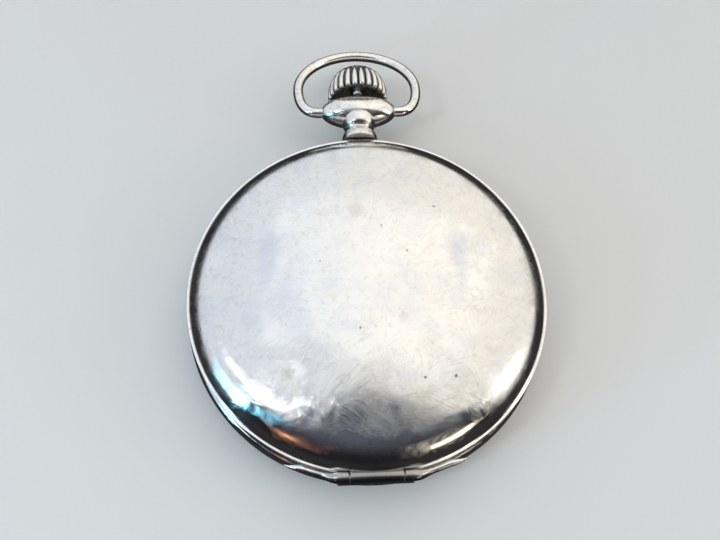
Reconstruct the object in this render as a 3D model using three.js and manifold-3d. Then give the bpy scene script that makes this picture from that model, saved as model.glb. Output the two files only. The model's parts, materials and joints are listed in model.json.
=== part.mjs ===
// Open face pocket watch, lying on its crystal with its back up. Millimetres, +Z up through the back,
// +Y towards the pendant (12 o'clock), origin at the middle of the crystal's flat outer face.
import * as THREE from "three";
import { mergeVertices } from "three/addons/utils/BufferGeometryUtils.js";
import Module from "manifold-3d";

const wasm = await Module();
wasm.setup();

// ---- Driving dimensions -------------------------------------------------------------------------

const CASE = {
  radius: 25, // rim of the case middle and of the back cover
  bottom: 4.85,
  top: 8,
  rimInner: 24.45,
  ledgeTop: 7.3,
  seatOuter: 23.5,
  seatTop: 6.7,
  bore: 21.65,
};

const COVER = {
  base: 8.05,
  lipBottom: 7.5,
  lipInner: 23.8,
  lipOuter: 24.3,
  flangeTop: 8.3,
  thickness: 0.5,
  capEdge: 20.6, // radius where the shallow cap turns into the shoulder
  capTilt: 17,
  rimTilt: 60,
  shoulder: 7.1, // radius of the shoulder's arc in section
  opening: 95,
};

const BEZEL = { top: 4.7, bulge: 25.6, lipTop: 5.4, lipOuter: 23.1, lipInner: 22.6, seat: 20.75 };
const CRYSTAL = { flat: 17.5, radius: 20.6, thickness: 1.2, edgeTop: 2.2 };

const HINGE_Y = -25;
const BACK_HINGE = { z: 7.9, radius: 0.8, pin: 0.34, bore: 0.46, half: 3.4, barrel: 5.6, wing: 11.6 };
const BEZEL_HINGE = { z: 4.75, radius: 0.6, pin: 0.24, bore: 0.34, half: 2, barrel: 5 };
const HINGE_GAP = 0.12;

const STEM_Z = 7; // height of the winding stem, the pendant and the bow's pivots
const PENDANT = { headY: 30.94, headX: 5.95, headDepth: 2.63, headHeight: 2.7, flatY: 32.8, bore: 0.95 };
const BOW = { wire: 0.78, reach: 13.1, half: 9.45, widest: 5.2, end: 4.95, droop: 10 };
const CROWN = { radius: 4.7, flutes: 24, start: 33.15, end: 38.6, fluteDepth: 0.32 };

const PLATE = { radius: 21.4, bottom: 4.95, top: 6.75, recess: 5.95 };
const BRIDGE = { radius: 20.6, footInner: 17.6, footBottom: 6.85, top: 10 };
const BARREL_BRIDGE = { bottom: 8.6, edgeY: 2.2, centreCut: 6.95, sink: 9.3 };
const TRAIN_BRIDGE = { bottom: 9.15, edgeY: 1.8, edgeX: -6 };
const DIAL = { radius: 21.3, front: 4.3, back: 4.85, sunkRadius: 5.1, sunkDepth: 0.22 };

// Wheels and pinions: teeth, module and the two faces of each.
const GEARS = {
  barrel: { teeth: 72, module: 0.22, low: 7.1, high: 7.5 },
  centrePinion: { teeth: 10, module: 0.22, low: 6.95, high: 7.75 },
  centre: { teeth: 64, module: 0.2, low: 8.65, high: 8.9 },
  thirdPinion: { teeth: 8, module: 0.2, low: 8.35, high: 9.0 },
  third: { teeth: 60, module: 0.17, low: 7.1, high: 7.35 },
  fourthPinion: { teeth: 8, module: 0.17, low: 6.95, high: 7.55 },
  fourth: { teeth: 60, module: 0.15, low: 7.9, high: 8.15 },
  escapePinion: { teeth: 6, module: 0.15, low: 7.65, high: 8.5 },
  cannon: { teeth: 10, module: 0.2, low: 5.45, high: 5.85 },
  minute: { teeth: 30, module: 0.2, low: 5.45, high: 5.8 },
  minutePinion: { teeth: 8, module: 0.2, low: 5.05, high: 5.4 },
  hour: { teeth: 32, module: 0.2, low: 5.05, high: 5.35 },
  setting: { teeth: 30, module: 0.2, low: 5.45, high: 5.8 },
  ratchet: { teeth: 38, module: 0.3, low: 9.4, high: 9.8 },
  crownWheel: { teeth: 26, module: 0.3, low: 9.4, high: 9.8 },
};
const ESCAPE = { teeth: 15, tip: 3.5, root: 2.75, low: 7.15, high: 7.4 };
const BALANCE = { radius: 7, rim: 0.55, low: 9.1, high: 9.7, armLow: 9.25, armHigh: 9.45 };
const COCK = { bottom: 10.35, top: 11.05, radius: 3.3, reach: 20 };
const TIME = { hour: 10, minute: 9, second: 36 }; // what the hands show at rest

// ---- Small helpers ------------------------------------------------------------------------------

const radians = THREE.MathUtils.degToRad;
const pitchRadius = (gear) => (gear.teeth * gear.module) / 2;
const centreDistance = (a, b) => pitchRadius(a) + pitchRadius(b);
const polar = (radius, degrees, origin = [0, 0]) => [
  origin[0] + radius * Math.cos(radians(degrees)),
  origin[1] + radius * Math.sin(radians(degrees)),
];
const bearing = (from, to) => Math.atan2(to[1] - from[1], to[0] - from[0]);
const distance = (a, b) => Math.hypot(b[0] - a[0], b[1] - a[1]);

// A closed solid from any closed three.js geometry, turned face out.
function solid(geometry) {
  const bare = geometry.clone();
  bare.deleteAttribute("normal");
  bare.deleteAttribute("uv");
  const merged = mergeVertices(bare, 1e-4);
  const corners = merged.index.array;
  const kept = [];
  for (let i = 0; i < corners.length; i += 3) {
    const [a, b, c] = [corners[i], corners[i + 1], corners[i + 2]];
    if (a !== b && b !== c && c !== a) kept.push(a, b, c);
  }
  const build = (triangles) =>
    new wasm.Manifold(
      new wasm.Mesh({
        numProp: 3,
        vertProperties: merged.attributes.position.array,
        triVerts: new Uint32Array(triangles),
      }),
    );
  const made = build(kept);
  if (made.volume() > 0) return made;
  return build(kept.map((corner, i) => (i % 3 === 0 ? corner : kept[i % 3 === 1 ? i + 1 : i - 1])));
}

function geometryOf(body) {
  const mesh = body.getMesh();
  const geometry = new THREE.BufferGeometry();
  geometry.setAttribute("position", new THREE.BufferAttribute(new Float32Array(mesh.vertProperties), 3));
  geometry.setIndex(new THREE.BufferAttribute(new Uint32Array(mesh.triVerts), 1));
  geometry.computeVertexNormals();
  return geometry;
}

const union = (...bodies) => bodies.reduce((whole, next) => whole.add(next));
const cut = (body, ...tools) => tools.reduce((left, tool) => left.subtract(tool), body);

// A body turned about +Z from a section of [radius, height] points.
function turned(points, segments = 24, closed = false) {
  const section = points.map(([r, z]) => new THREE.Vector2(r, z));
  if (closed) section.push(section[0].clone());
  return solid(new THREE.LatheGeometry(section, segments).rotateX(Math.PI / 2));
}

function disc(radius, low, high, at = [0, 0], segments = 12) {
  const rod = new THREE.CylinderGeometry(radius, radius, high - low, segments);
  return solid(rod.rotateX(Math.PI / 2).translate(at[0], at[1], (low + high) / 2));
}

function ring(inner, outer, low, high, at = [0, 0], segments = 28) {
  return cut(disc(outer, low, high, at, segments), disc(inner, low - 1, high + 1, at, segments));
}

function block(x0, x1, y0, y1, z0, z1) {
  const box = new THREE.BoxGeometry(x1 - x0, y1 - y0, z1 - z0);
  return solid(box.translate((x0 + x1) / 2, (y0 + y1) / 2, (z0 + z1) / 2));
}

// A rod along X or along Y.
function rodX(radius, x0, x1, y, z, segments = 16) {
  const rod = new THREE.CylinderGeometry(radius, radius, x1 - x0, segments);
  return solid(rod.rotateZ(Math.PI / 2).translate((x0 + x1) / 2, y, z));
}

function rodY(radius, y0, y1, segments = 16) {
  const rod = new THREE.CylinderGeometry(radius, radius, y1 - y0, segments);
  return solid(rod.translate(0, (y0 + y1) / 2, STEM_Z));
}

function sheet(shape, low, high, curveSegments = 8) {
  const options = { depth: high - low, bevelEnabled: false, curveSegments };
  return solid(new THREE.ExtrudeGeometry(shape, options).translate(0, 0, low));
}

function outline(points) {
  return new THREE.Shape(points.map(([x, y]) => new THREE.Vector2(x, y)));
}

// Two round ends joined by their outer tangents.
function capsule(a, b, radiusA, radiusB, low, high) {
  const along = bearing(a, b);
  const lean = Math.acos((radiusA - radiusB) / distance(a, b));
  const shape = new THREE.Shape();
  shape.absarc(a[0], a[1], radiusA, along + lean, along - lean + 2 * Math.PI, false);
  shape.absarc(b[0], b[1], radiusB, along - lean, along + lean, false);
  return sheet(shape, low, high, 4);
}

// Half widths of a tooth in pitches, each with how far up the tooth it is.
const LEAF = [
  [-0.17, 0],
  [-0.1, 1],
  [0.1, 1],
  [0.17, 0],
];
const POINTED = [
  [-0.25, 0],
  [0, 1],
  [0.25, 0],
];
const FINE = [
  [0, 1],
  [0.5, 0],
];

// The outline of a toothed wheel.
function toothed({ teeth, module }, phase, form) {
  const pitch = (2 * Math.PI) / teeth;
  const tip = pitchRadius({ teeth, module }) + 0.75 * module;
  const root = pitchRadius({ teeth, module }) - 0.95 * module;
  const points = [];
  for (let i = 0; i < teeth; i++)
    for (const [offset, rise] of form) {
      const radius = root + rise * (tip - root);
      const angle = phase + (i + offset) * pitch;
      points.push([radius * Math.cos(angle), radius * Math.sin(angle)]);
    }
  return outline(points);
}

// The phase that puts a gap of the next gear where a tooth of this one comes.
function meshPhase(phase, from, to, gear, next) {
  const line = bearing(from, to);
  return line + Math.PI - ((phase - line) * gear.teeth) / next.teeth - Math.PI / next.teeth;
}

// A flat coil of strip as one closed ribbon.
function coil(inner, outer, turns, thickness, low, high, start, steps) {
  const side = (offset) =>
    Array.from({ length: steps + 1 }, (_, i) => {
      const angle = start + (i / steps) * turns * 2 * Math.PI;
      const radius = inner + (i / steps) * (outer - inner) + offset;
      return [radius * Math.cos(angle), radius * Math.sin(angle)];
    });
  const ribbon = [...side(thickness / 2), ...side(-thickness / 2).reverse()];
  return sheet(outline(ribbon), low, high);
}

// ---- Where the movement's arbors stand, seen from the back --------------------------------------

const CENTRE = [0, 0];
const BARREL = polar(centreDistance(GEARS.barrel, GEARS.centrePinion), 132);
const FOURTH = [0, -9.6];
const THIRD = (() => {
  const a = centreDistance(GEARS.centre, GEARS.thirdPinion);
  const b = centreDistance(GEARS.third, GEARS.fourthPinion);
  const y = (b * b - a * a - FOURTH[1] * FOURTH[1]) / (-2 * FOURTH[1]);
  return [Math.sqrt(a * a - y * y), y];
})();
const ESCAPE_AT = polar(centreDistance(GEARS.fourth, GEARS.escapePinion), 215, FOURTH);
const BALANCE_AT = [-11.5, -5.5];
const PALLET_REACH = 4.3; // from the escape wheel's centre to the pallet arbor
const ESCAPE_LINE = bearing(ESCAPE_AT, BALANCE_AT) / radians(1);
const PALLET_AT = polar(PALLET_REACH, ESCAPE_LINE, ESCAPE_AT);
const MINUTE_AT = [0, centreDistance(GEARS.cannon, GEARS.minute)];
const SETTING_AT = [0, MINUTE_AT[1] + centreDistance(GEARS.minute, GEARS.setting)];
const CROWN_WHEEL_AT = (() => {
  const reach = centreDistance(GEARS.ratchet, GEARS.crownWheel);
  return [0, BARREL[1] + Math.sqrt(reach * reach - BARREL[0] * BARREL[0])];
})();
const WINDING_Y = CROWN_WHEEL_AT[1] + 3.35; // middle of the winding pinion under the crown wheel's edge

// ---- Case ---------------------------------------------------------------------------------------

const CASE_SEGMENTS = 36;

function hingeRod(hinge, radius, x0, x1) {
  return rodX(radius, x0, x1, HINGE_Y, hinge.z);
}

// One half of the case's hinge: a straight barrel that runs out into a wing along the rim, whose tip flares.
function hingeWing(side) {
  const { smoothstep } = THREE.MathUtils;
  const start = BACK_HINGE.half + HINGE_GAP;
  const steps = 8;
  const profile = [[0, start]];
  for (let i = 0; i <= steps; i++) {
    const x = start + (i / steps) * (BACK_HINGE.wing - start);
    const slim = 1 - 0.37 * smoothstep(x, BACK_HINGE.barrel - 1, BACK_HINGE.barrel + 1.8);
    const tip = 1 - 0.75 * smoothstep(x, BACK_HINGE.wing - 2.2, BACK_HINGE.wing + 0.4);
    profile.push([BACK_HINGE.radius * slim * tip, x]);
  }
  profile.push([0, BACK_HINGE.wing]);
  const section = profile.map(([r, x]) => new THREE.Vector2(r, x));
  const wing = new THREE.LatheGeometry(section, 8).rotateZ(-Math.PI / 2);
  const spots = wing.attributes.position;
  for (let i = 0; i < spots.count; i++) {
    const x = spots.getX(i);
    const bend = smoothstep(x, BACK_HINGE.barrel - 1.2, BACK_HINGE.barrel + 1.6);
    const reach = CASE.radius + 0.45 + 0.45 * smoothstep(x, BACK_HINGE.wing - 2.6, BACK_HINGE.wing);
    const rimY = -Math.sqrt(reach ** 2 - x * x);
    spots.setXYZ(
      i,
      side * x,
      spots.getY(i) + HINGE_Y + bend * (rimY - HINGE_Y),
      spots.getZ(i) + BACK_HINGE.z - 0.45 * bend,
    );
  }
  return solid(wing);
}

function caseMiddle() {
  const band = turned(
    [
      [CASE.radius, CASE.bottom],
      [CASE.radius, CASE.top],
      [CASE.rimInner, CASE.top],
      [CASE.rimInner, CASE.ledgeTop],
      [CASE.seatOuter, CASE.ledgeTop],
      [CASE.seatOuter, CASE.seatTop],
      [CASE.bore, CASE.seatTop],
      [CASE.bore, 5.6],
      [23.3, 5.6],
      [23.3, CASE.bottom],
    ],
    CASE_SEGMENTS,
    true,
  );
  const { half } = BACK_HINGE;
  const whole = union(band, hingeWing(1), hingeWing(-1));
  const notched = cut(
    whole,
    hingeRod(BACK_HINGE, BACK_HINGE.radius + 0.15, -half - HINGE_GAP, half + HINGE_GAP),
    hingeRod(BEZEL_HINGE, BEZEL_HINGE.radius + 0.12, -BEZEL_HINGE.barrel - 0.1, BEZEL_HINGE.barrel + 0.1),
  );
  const knuckle = hingeRod(BEZEL_HINGE, BEZEL_HINGE.radius, -BEZEL_HINGE.half, BEZEL_HINGE.half);
  const neck = block(-BEZEL_HINGE.half, BEZEL_HINGE.half, HINGE_Y, HINGE_Y + 1.2, BEZEL_HINGE.z, 6);
  return cut(
    union(notched, knuckle, neck),
    hingeRod(BACK_HINGE, BACK_HINGE.bore, -7, 7),
    hingeRod(BEZEL_HINGE, BEZEL_HINGE.bore, -7, 7),
    rodY(0.85, 20, 27),
    ...[25, 155, -20].map((angle) => disc(1.3, CASE.seatTop - 0.5, CASE.ledgeTop, polar(21.6, angle), 12)),
  );
}

// A round arc of the cover's section about the shoulder's centre, by surface tilt in degrees.
function coverSection(offset, innerEnd) {
  const rim = radians(COVER.rimTilt);
  const tilt = radians(COVER.capTilt);
  const capRadius = COVER.capEdge / Math.sin(tilt) + offset;
  const shoulder = COVER.shoulder + offset;
  const centreR = COVER.capEdge - COVER.shoulder * Math.sin(tilt);
  const centreZ = COVER.flangeTop - COVER.shoulder * Math.cos(rim);
  const capZ = centreZ + (COVER.shoulder - COVER.capEdge / Math.sin(tilt)) * Math.cos(tilt);
  const points = [];
  for (let i = 0; i <= 3; i++) points.push([capRadius, (tilt * i) / 3, 0, capZ]);
  for (let i = 1; i <= 4; i++) points.push([shoulder, tilt + ((innerEnd - tilt) * i) / 4, centreR, centreZ]);
  return points.map(([radius, angle, r, z]) => [r + radius * Math.sin(angle), z + radius * Math.cos(angle)]);
}

function backCover() {
  const outer = coverSection(0, radians(COVER.rimTilt));
  const inner = coverSection(-COVER.thickness, radians(53)).reverse();
  const shell = turned(
    [
      ...outer,
      [CASE.radius, COVER.flangeTop],
      [CASE.radius, COVER.base],
      [COVER.lipOuter, COVER.base],
      [COVER.lipOuter, COVER.lipBottom],
      [COVER.lipInner, COVER.lipBottom],
      ...inner,
    ],
    CASE_SEGMENTS,
  );
  const { half, radius, barrel, bore } = BACK_HINGE;
  const clearance = cut(
    hingeRod(BACK_HINGE, radius + 0.15, -barrel - 0.7, barrel + 0.7),
    hingeRod(BACK_HINGE, radius + 1, -half, half),
  );
  const knuckle = hingeRod(BACK_HINGE, radius, -half, half);
  return cut(
    union(cut(shell, clearance), knuckle),
    hingeRod(BACK_HINGE, bore, -7, 7),
    block(-0.95, 0.95, 23, 24.7, 7, 7.9),
  );
}

function bezel() {
  const body = turned(
    [
      [BEZEL.seat, 0.75],
      [21.1, 0.5],
      [22.6, 0.6],
      [24.4, 1.3],
      [BEZEL.bulge, 3],
      [25.4, 4.3],
      [CASE.radius, BEZEL.top],
      [BEZEL.lipOuter, BEZEL.top],
      [BEZEL.lipOuter, BEZEL.lipTop],
      [BEZEL.lipInner, BEZEL.lipTop],
      [BEZEL.lipInner, 3.6],
      [21.6, 2.85],
      [20, 2.75],
      [20, 2.4],
      [BEZEL.seat, 2.4],
    ],
    CASE_SEGMENTS,
    true,
  );
  const { half, barrel, radius, bore } = BEZEL_HINGE;
  const knuckles = [
    [-barrel, -half - 0.1],
    [half + 0.1, barrel],
  ].map(([x0, x1]) => hingeRod(BEZEL_HINGE, radius, x0, x1));
  const notch = hingeRod(BEZEL_HINGE, radius + 0.12, -half - 0.1, half + 0.1);
  const neckRoom = block(-half - 0.1, half + 0.1, HINGE_Y - 0.1, HINGE_Y + 1.35, BEZEL_HINGE.z - 0.6, 6);
  return cut(union(cut(body, notch, neckRoom), ...knuckles), hingeRod(BEZEL_HINGE, bore, -7, 7));
}

function crystal() {
  return turned(
    [
      [0, 0],
      [CRYSTAL.flat, 0],
      [CRYSTAL.radius - 0.3, 1],
      [CRYSTAL.radius, 1.4],
      [CRYSTAL.radius, CRYSTAL.edgeTop],
      [CRYSTAL.radius - 0.9, CRYSTAL.edgeTop],
      [CRYSTAL.flat - 0.3, CRYSTAL.thickness],
      [0, CRYSTAL.thickness],
    ],
    40,
  );
}

// ---- Pendant, bow and crown ---------------------------------------------------------------------

// A body turned about the stem's axis from [radius, y] points.
function turnedOnStem(points, segments, closed = false) {
  const section = points.map(([r, y]) => new THREE.Vector2(r, y));
  if (closed) section.push(section[0].clone());
  return solid(new THREE.LatheGeometry(section, segments).translate(0, 0, STEM_Z));
}

function pendant() {
  const { headY, headX, headDepth, headHeight, bore } = PENDANT;
  const head = new THREE.SphereGeometry(1, 16, 8).scale(headX, headDepth, headHeight);
  const neck = turnedOnStem(
    [
      [0, 24.4],
      [2.6, 24.4],
      [2.72, 25.6],
      [2.5, 26.5],
      [1.92, 27.2],
      [1.95, 27.5],
      [2.4, 28],
      [2.6, 28.9],
      [2.45, 29.8],
      [2, 30.6],
      [0, 30.6],
    ],
    16,
  );
  const caseRoom = disc(CASE.radius + 0.1, 0, CASE.top + 0.05, CENTRE, CASE_SEGMENTS);
  const coverRoom = disc(CASE.radius + 0.3, CASE.top - 0.3, 20, CENTRE, CASE_SEGMENTS);
  const bezelRoom = disc(BEZEL.bulge + 0.25, 0, BEZEL.lipTop - 0.4, CENTRE, CASE_SEGMENTS);
  return cut(
    union(solid(head.translate(0, headY, STEM_Z)), neck),
    caseRoom,
    coverRoom,
    bezelRoom,
    rodY(bore, 20, 40),
    block(-7, 7, PENDANT.flatY, headY + 4, 2, 12),
    ...[-1, 1].map((side) => {
      const ends = [side * (BOW.end - 0.15), side * (headX + 1)].sort((a, b) => a - b);
      return rodX(BOW.wire + 0.12, ends[0], ends[1], headY, STEM_Z);
    }),
  );
}

// The bow's centre line in its own plane: x across, y from the pivots to the top.
function bowPath() {
  const { end, half, widest, reach } = BOW;
  const kappa = 0.5523;
  const side = (s) => [
    [
      [s * end, 0],
      [s * (end + 0.5), 0],
      [s * (end + 1), 0],
      [s * (end + 1.4), 0],
    ],
    [
      [s * (end + 1.4), 0],
      [s * (half - 0.9), 0.1],
      [s * half, widest * 0.45],
      [s * half, widest],
    ],
    [
      [s * half, widest],
      [s * half, widest + kappa * (reach - widest)],
      [s * kappa * half, reach],
      [0, reach],
    ],
  ];
  const path = new THREE.CurvePath();
  const add = (points) =>
    path.add(new THREE.CubicBezierCurve3(...points.map(([x, y]) => new THREE.Vector3(x, y, 0))));
  side(-1).forEach(add);
  side(1)
    .reverse()
    .forEach((points) => add([...points].reverse()));
  return path;
}

function bow() {
  const section = outline(Array.from({ length: 8 }, (_, i) => polar(BOW.wire, 45 * i)));
  const options = { steps: 34, extrudePath: bowPath() };
  const wire = new THREE.ExtrudeGeometry(section, options);
  return solid(wire.rotateX(radians(-BOW.droop)).translate(0, PENDANT.headY, STEM_Z));
}

function crown() {
  const { radius, flutes, start, end, fluteDepth } = CROWN;
  const section = [
    [0.78, end - 2.2],
    [0.78, start + 0.85],
    [2.8, start + 0.85],
    [radius - 0.4, start],
    [radius, start + 0.75],
    [radius - 0.1, start + 2.2],
    [radius - 0.8, start + 3.9],
    [radius - 2.4, end - 0.25],
    [0, end],
  ].map(([r, y]) => new THREE.Vector2(r, y));
  section.unshift(new THREE.Vector2(0, end - 2.2));
  const body = new THREE.LatheGeometry(section, flutes * 2);
  const spots = body.attributes.position;
  for (let i = 0; i < spots.count; i++) {
    const r = Math.hypot(spots.getX(i), spots.getZ(i));
    const column = Math.floor(i / section.length);
    const fluted = spots.getY(i) > start + 0.1 && r > 2;
    if (!fluted || column % 2 === 0) continue;
    const shrink = (r - fluteDepth) / r;
    spots.setXYZ(i, spots.getX(i) * shrink, spots.getY(i), spots.getZ(i) * shrink);
  }
  return solid(body.translate(0, 0, STEM_Z));
}

function windingStem() {
  const pilot = rodY(0.4, 12.9, 13.9, 12);
  const square = block(-0.45, 0.45, 13.8, 17, STEM_Z - 0.45, STEM_Z + 0.45);
  const shaft = cut(rodY(0.65, 19.2, 35.6, 12), ringOnStem(0.42, 1, 19.9, 20.4));
  const journal = rodY(0.55, 16.9, 19.3, 12);
  return union(pilot, square, journal, shaft);
}

function ringOnStem(inner, outer, y0, y1) {
  return cut(rodY(outer, y0, y1, 12), rodY(inner, y0 - 1, y1 + 1, 12));
}

// A toothed sleeve on the stem: plain barrel with straight teeth round it.
function stemPinion(teeth, root, tip, bore, y0, y1) {
  const points = [];
  for (let i = 0; i < teeth * 4; i++) {
    const angle = ((i + 0.5) / (teeth * 4)) * 2 * Math.PI;
    const radius = i % 4 < 2 ? tip : root;
    points.push([radius * Math.cos(angle), radius * Math.sin(angle)]);
  }
  const options = { depth: y1 - y0, bevelEnabled: false };
  const body = new THREE.ExtrudeGeometry(outline(points), options).rotateX(Math.PI / 2);
  return cut(solid(body.translate(0, y1, STEM_Z)), rodY(bore, y0 - 1, y1 + 1, 12));
}

const windingPinion = () => stemPinion(12, 1.5, 1.9, 0.65, WINDING_Y - 0.7, WINDING_Y + 0.7);

function clutch() {
  const y1 = WINDING_Y - 0.95;
  const body = stemPinion(10, 0.9, 1.1, 0.7, y1 - 2.2, y1);
  return cut(body, ringOnStem(0.9, 2, y1 - 1.4, y1 - 0.8));
}

// ---- Plates and bridges -------------------------------------------------------------------------

const SCREW = { head: 1.25, headHeight: 0.6, shank: 0.6 };
const FOOT_RADIUS = 19.1;
const SCREWS = {
  barrel_bridge_screw_left: { at: polar(FOOT_RADIUS, 155), top: 10.2, bottom: 5.4 },
  barrel_bridge_screw_right: { at: polar(FOOT_RADIUS, 25), top: 10.2, bottom: 5.4 },
  train_bridge_screw_right: { at: polar(FOOT_RADIUS, -22), top: 10.2, bottom: 5.4 },
  train_bridge_screw_lower: { at: polar(FOOT_RADIUS, -76), top: 10.2, bottom: 5.4 },
};
const COCK_FEET = [
  [-11.2, -15.4],
  [-8.2, -17.2],
];
const COCK_SCREW_AT = [-9.7, -16.3];
const PALLET_FOOT = [-10.2, -12.15];
const CLICK_AT = polar(8.1, 100, BARREL);

function screw(at, top, bottom, head = SCREW.head, shank = SCREW.shank) {
  const under = top - SCREW.headHeight;
  const body = turned(
    [
      [0, bottom],
      [shank, bottom],
      [shank, under],
      [head, under],
      [head, top],
      [0, top],
    ],
    8,
  );
  return body.translate([at[0], at[1], 0]);
}

function screwHole({ at, top }, low) {
  return union(disc(SCREW.shank + 0.12, low, 12, at, 8), disc(SCREW.head + 0.18, top - 0.7, 12, at, 12));
}

const YOKE_AT = [-5.4, 15.6];
const LEVER_AT = [5.2, 18];

function mainPlate() {
  const plain = disc(PLATE.radius, PLATE.bottom, PLATE.top, CENTRE, 40);
  const { bottom, recess } = PLATE;
  const low = bottom - 1;
  const opened = cut(
    plain,
    disc(3.75, low, recess, CENTRE),
    disc(3.5, low, recess, MINUTE_AT),
    disc(3.5, low, recess, SETTING_AT),
    block(-2.3, 2.3, 13.3, 19.3, low, 8),
    block(-0.9, 0.9, 12.6, 22, 6.1, 8),
    capsule(YOKE_AT, [-1.5, 16], 1.3, 1.4, low, 5.7),
    capsule(LEVER_AT, [1.6, 19], 1.2, 1.3, low, 5.7),
    ...[THIRD, ESCAPE_AT, PALLET_AT, BALANCE_AT].map((at) => disc(0.3, low, 8, at, 8)),
    disc(0.5, low, 8, FOURTH, 8),
    disc(0.78, low, 8, CENTRE, 8),
    disc(0.98, low, 8, BARREL, 8),
    ...Object.values(SCREWS).map(({ at }) => disc(0.75, low, 8, at, 8)),
    disc(0.75, low, 8, COCK_SCREW_AT, 8),
  );
  const post = (at, foot, high) => disc(0.38, foot, high, at, 8);
  return union(
    opened,
    post(MINUTE_AT, 5.02, recess + 0.1),
    post(SETTING_AT, 5.02, recess + 0.1),
    post(YOKE_AT, 5.02, 5.8),
    post(LEVER_AT, 5.02, 5.8),
  );
}

// A bridge is a thick plate over one side of the movement, standing on a foot along the edge.
function bridgeBlank(keep, bottom) {
  const { radius, footInner, footBottom, top } = BRIDGE;
  const slab = disc(radius, bottom, top, CENTRE, 40);
  const foot = ring(footInner, radius, footBottom, bottom + 0.1, CENTRE, 40);
  return union(slab, foot).intersect(keep);
}

function barrelBridge() {
  const { bottom, edgeY, centreCut, sink } = BARREL_BRIDGE;
  const blank = bridgeBlank(block(-30, 30, edgeY, 30, 0, 20), bottom);
  return cut(
    blank,
    disc(centreCut, 0, 20, CENTRE, 24),
    disc(pitchRadius(GEARS.ratchet) + 0.5, sink, 20, BARREL, 20),
    disc(pitchRadius(GEARS.crownWheel) + 0.5, sink, 20, CROWN_WHEEL_AT, 16),
    ring(2.8, 3.85, 8.95, sink + 0.1, CROWN_WHEEL_AT, 16),
    disc(0.95, 0, 20, BARREL, 12),
    disc(0.62, 0, 20, CROWN_WHEEL_AT, 12),
    block(-1.5, 1.5, WINDING_Y - 0.9, WINDING_Y + 0.9, 0, 9.2),
    block(-2.3, 2.3, WINDING_Y - 0.9, 21, 0, BARREL_BRIDGE.bottom),
    capsule(CLICK_AT, polar(6.6, 140, BARREL), 1.5, 1.7, sink, 20),
    capsule(CLICK_AT, polar(6.2, 84, BARREL), 1.5, 1, sink, 20),
    disc(0.5, 8, 20, CLICK_AT, 10),
    ...["barrel_bridge_screw_left", "barrel_bridge_screw_right"].map((name) => screwHole(SCREWS[name], 0)),
  );
}

function trainBridge() {
  const { bottom, edgeY, edgeX } = TRAIN_BRIDGE;
  const blank = bridgeBlank(block(edgeX, 30, -30, edgeY, 0, 20), bottom);
  return cut(
    blank,
    disc(BALANCE.radius + 0.75, 0, 20, BALANCE_AT, 32),
    ...[THIRD, FOURTH, ESCAPE_AT].map((at) => disc(0.3, 0, 20, at, 8)),
    disc(0.5, 0, 20, CENTRE, 8),
    disc(pitchRadius(GEARS.ratchet) + 0.5, 9.3, 20, BARREL, 20),
    ...["train_bridge_screw_right", "train_bridge_screw_lower"].map((name) => screwHole(SCREWS[name], 0)),
  );
}

function palletBridge() {
  const arm = capsule(PALLET_FOOT, PALLET_AT, 1.3, 1, 8.05, 8.6);
  const foot = disc(1.1, 6.85, 8.1, PALLET_FOOT, 16);
  return cut(
    union(arm, foot),
    disc(0.3, 0, 20, PALLET_AT, 8),
    disc(0.45, 0, 20, PALLET_FOOT, 8),
    disc(0.92, 8.33, 20, PALLET_FOOT, 10),
  );
}

function balanceCock() {
  const { bottom, top, radius, reach } = COCK;
  const foot = capsule(COCK_FEET[0], COCK_FEET[1], 1.5, 1.5, BRIDGE.footBottom, top);
  const arm = capsule(BALANCE_AT, COCK_SCREW_AT, radius, 1.8, bottom, top);
  const studAt = polar(3.35, 20, BALANCE_AT);
  const stud = disc(0.3, 9.9, bottom + 0.1, studAt, 8);
  return cut(
    union(foot, arm, stud),
    ring(reach, 30, 0, 20, CENTRE, 40),
    disc(0.35, 0, 20, BALANCE_AT, 10),
    disc(0.72, 0, 20, COCK_SCREW_AT, 10),
    disc(1.3, top - 0.55, 20, COCK_SCREW_AT, 12),
  );
}

function regulator() {
  const pointer = capsule(BALANCE_AT, polar(4.3, 100, BALANCE_AT), 1.25, 0.22, 11.12, 11.27);
  return cut(pointer, disc(0.85, 11, 12, BALANCE_AT, 14));
}

// ---- Wheels -------------------------------------------------------------------------------------

// A wheel with its pinion and arbor, turned about its own axis at the origin.
function trainWheel({ wheel, phase = 0, pinion, pinionPhase = 0, arbor }) {
  const plain = sheet(toothed(wheel, phase, FINE), wheel.low, wheel.high);
  const leaves = sheet(toothed(pinion, pinionPhase, LEAF), pinion.low, pinion.high);
  return union(plain, leaves, turned(arbor, 8));
}

const place = (body, at) => body.translate([at[0], at[1], 0]);

function arborOf(low, high, radius, pivot) {
  return [
    [0, low],
    [pivot, low],
    [pivot, PLATE.top + 0.12],
    [radius, PLATE.top + 0.12],
    [radius, TRAIN_BRIDGE.bottom - 0.1],
    [pivot, TRAIN_BRIDGE.bottom - 0.1],
    [pivot, high],
    [0, high],
  ];
}

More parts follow.
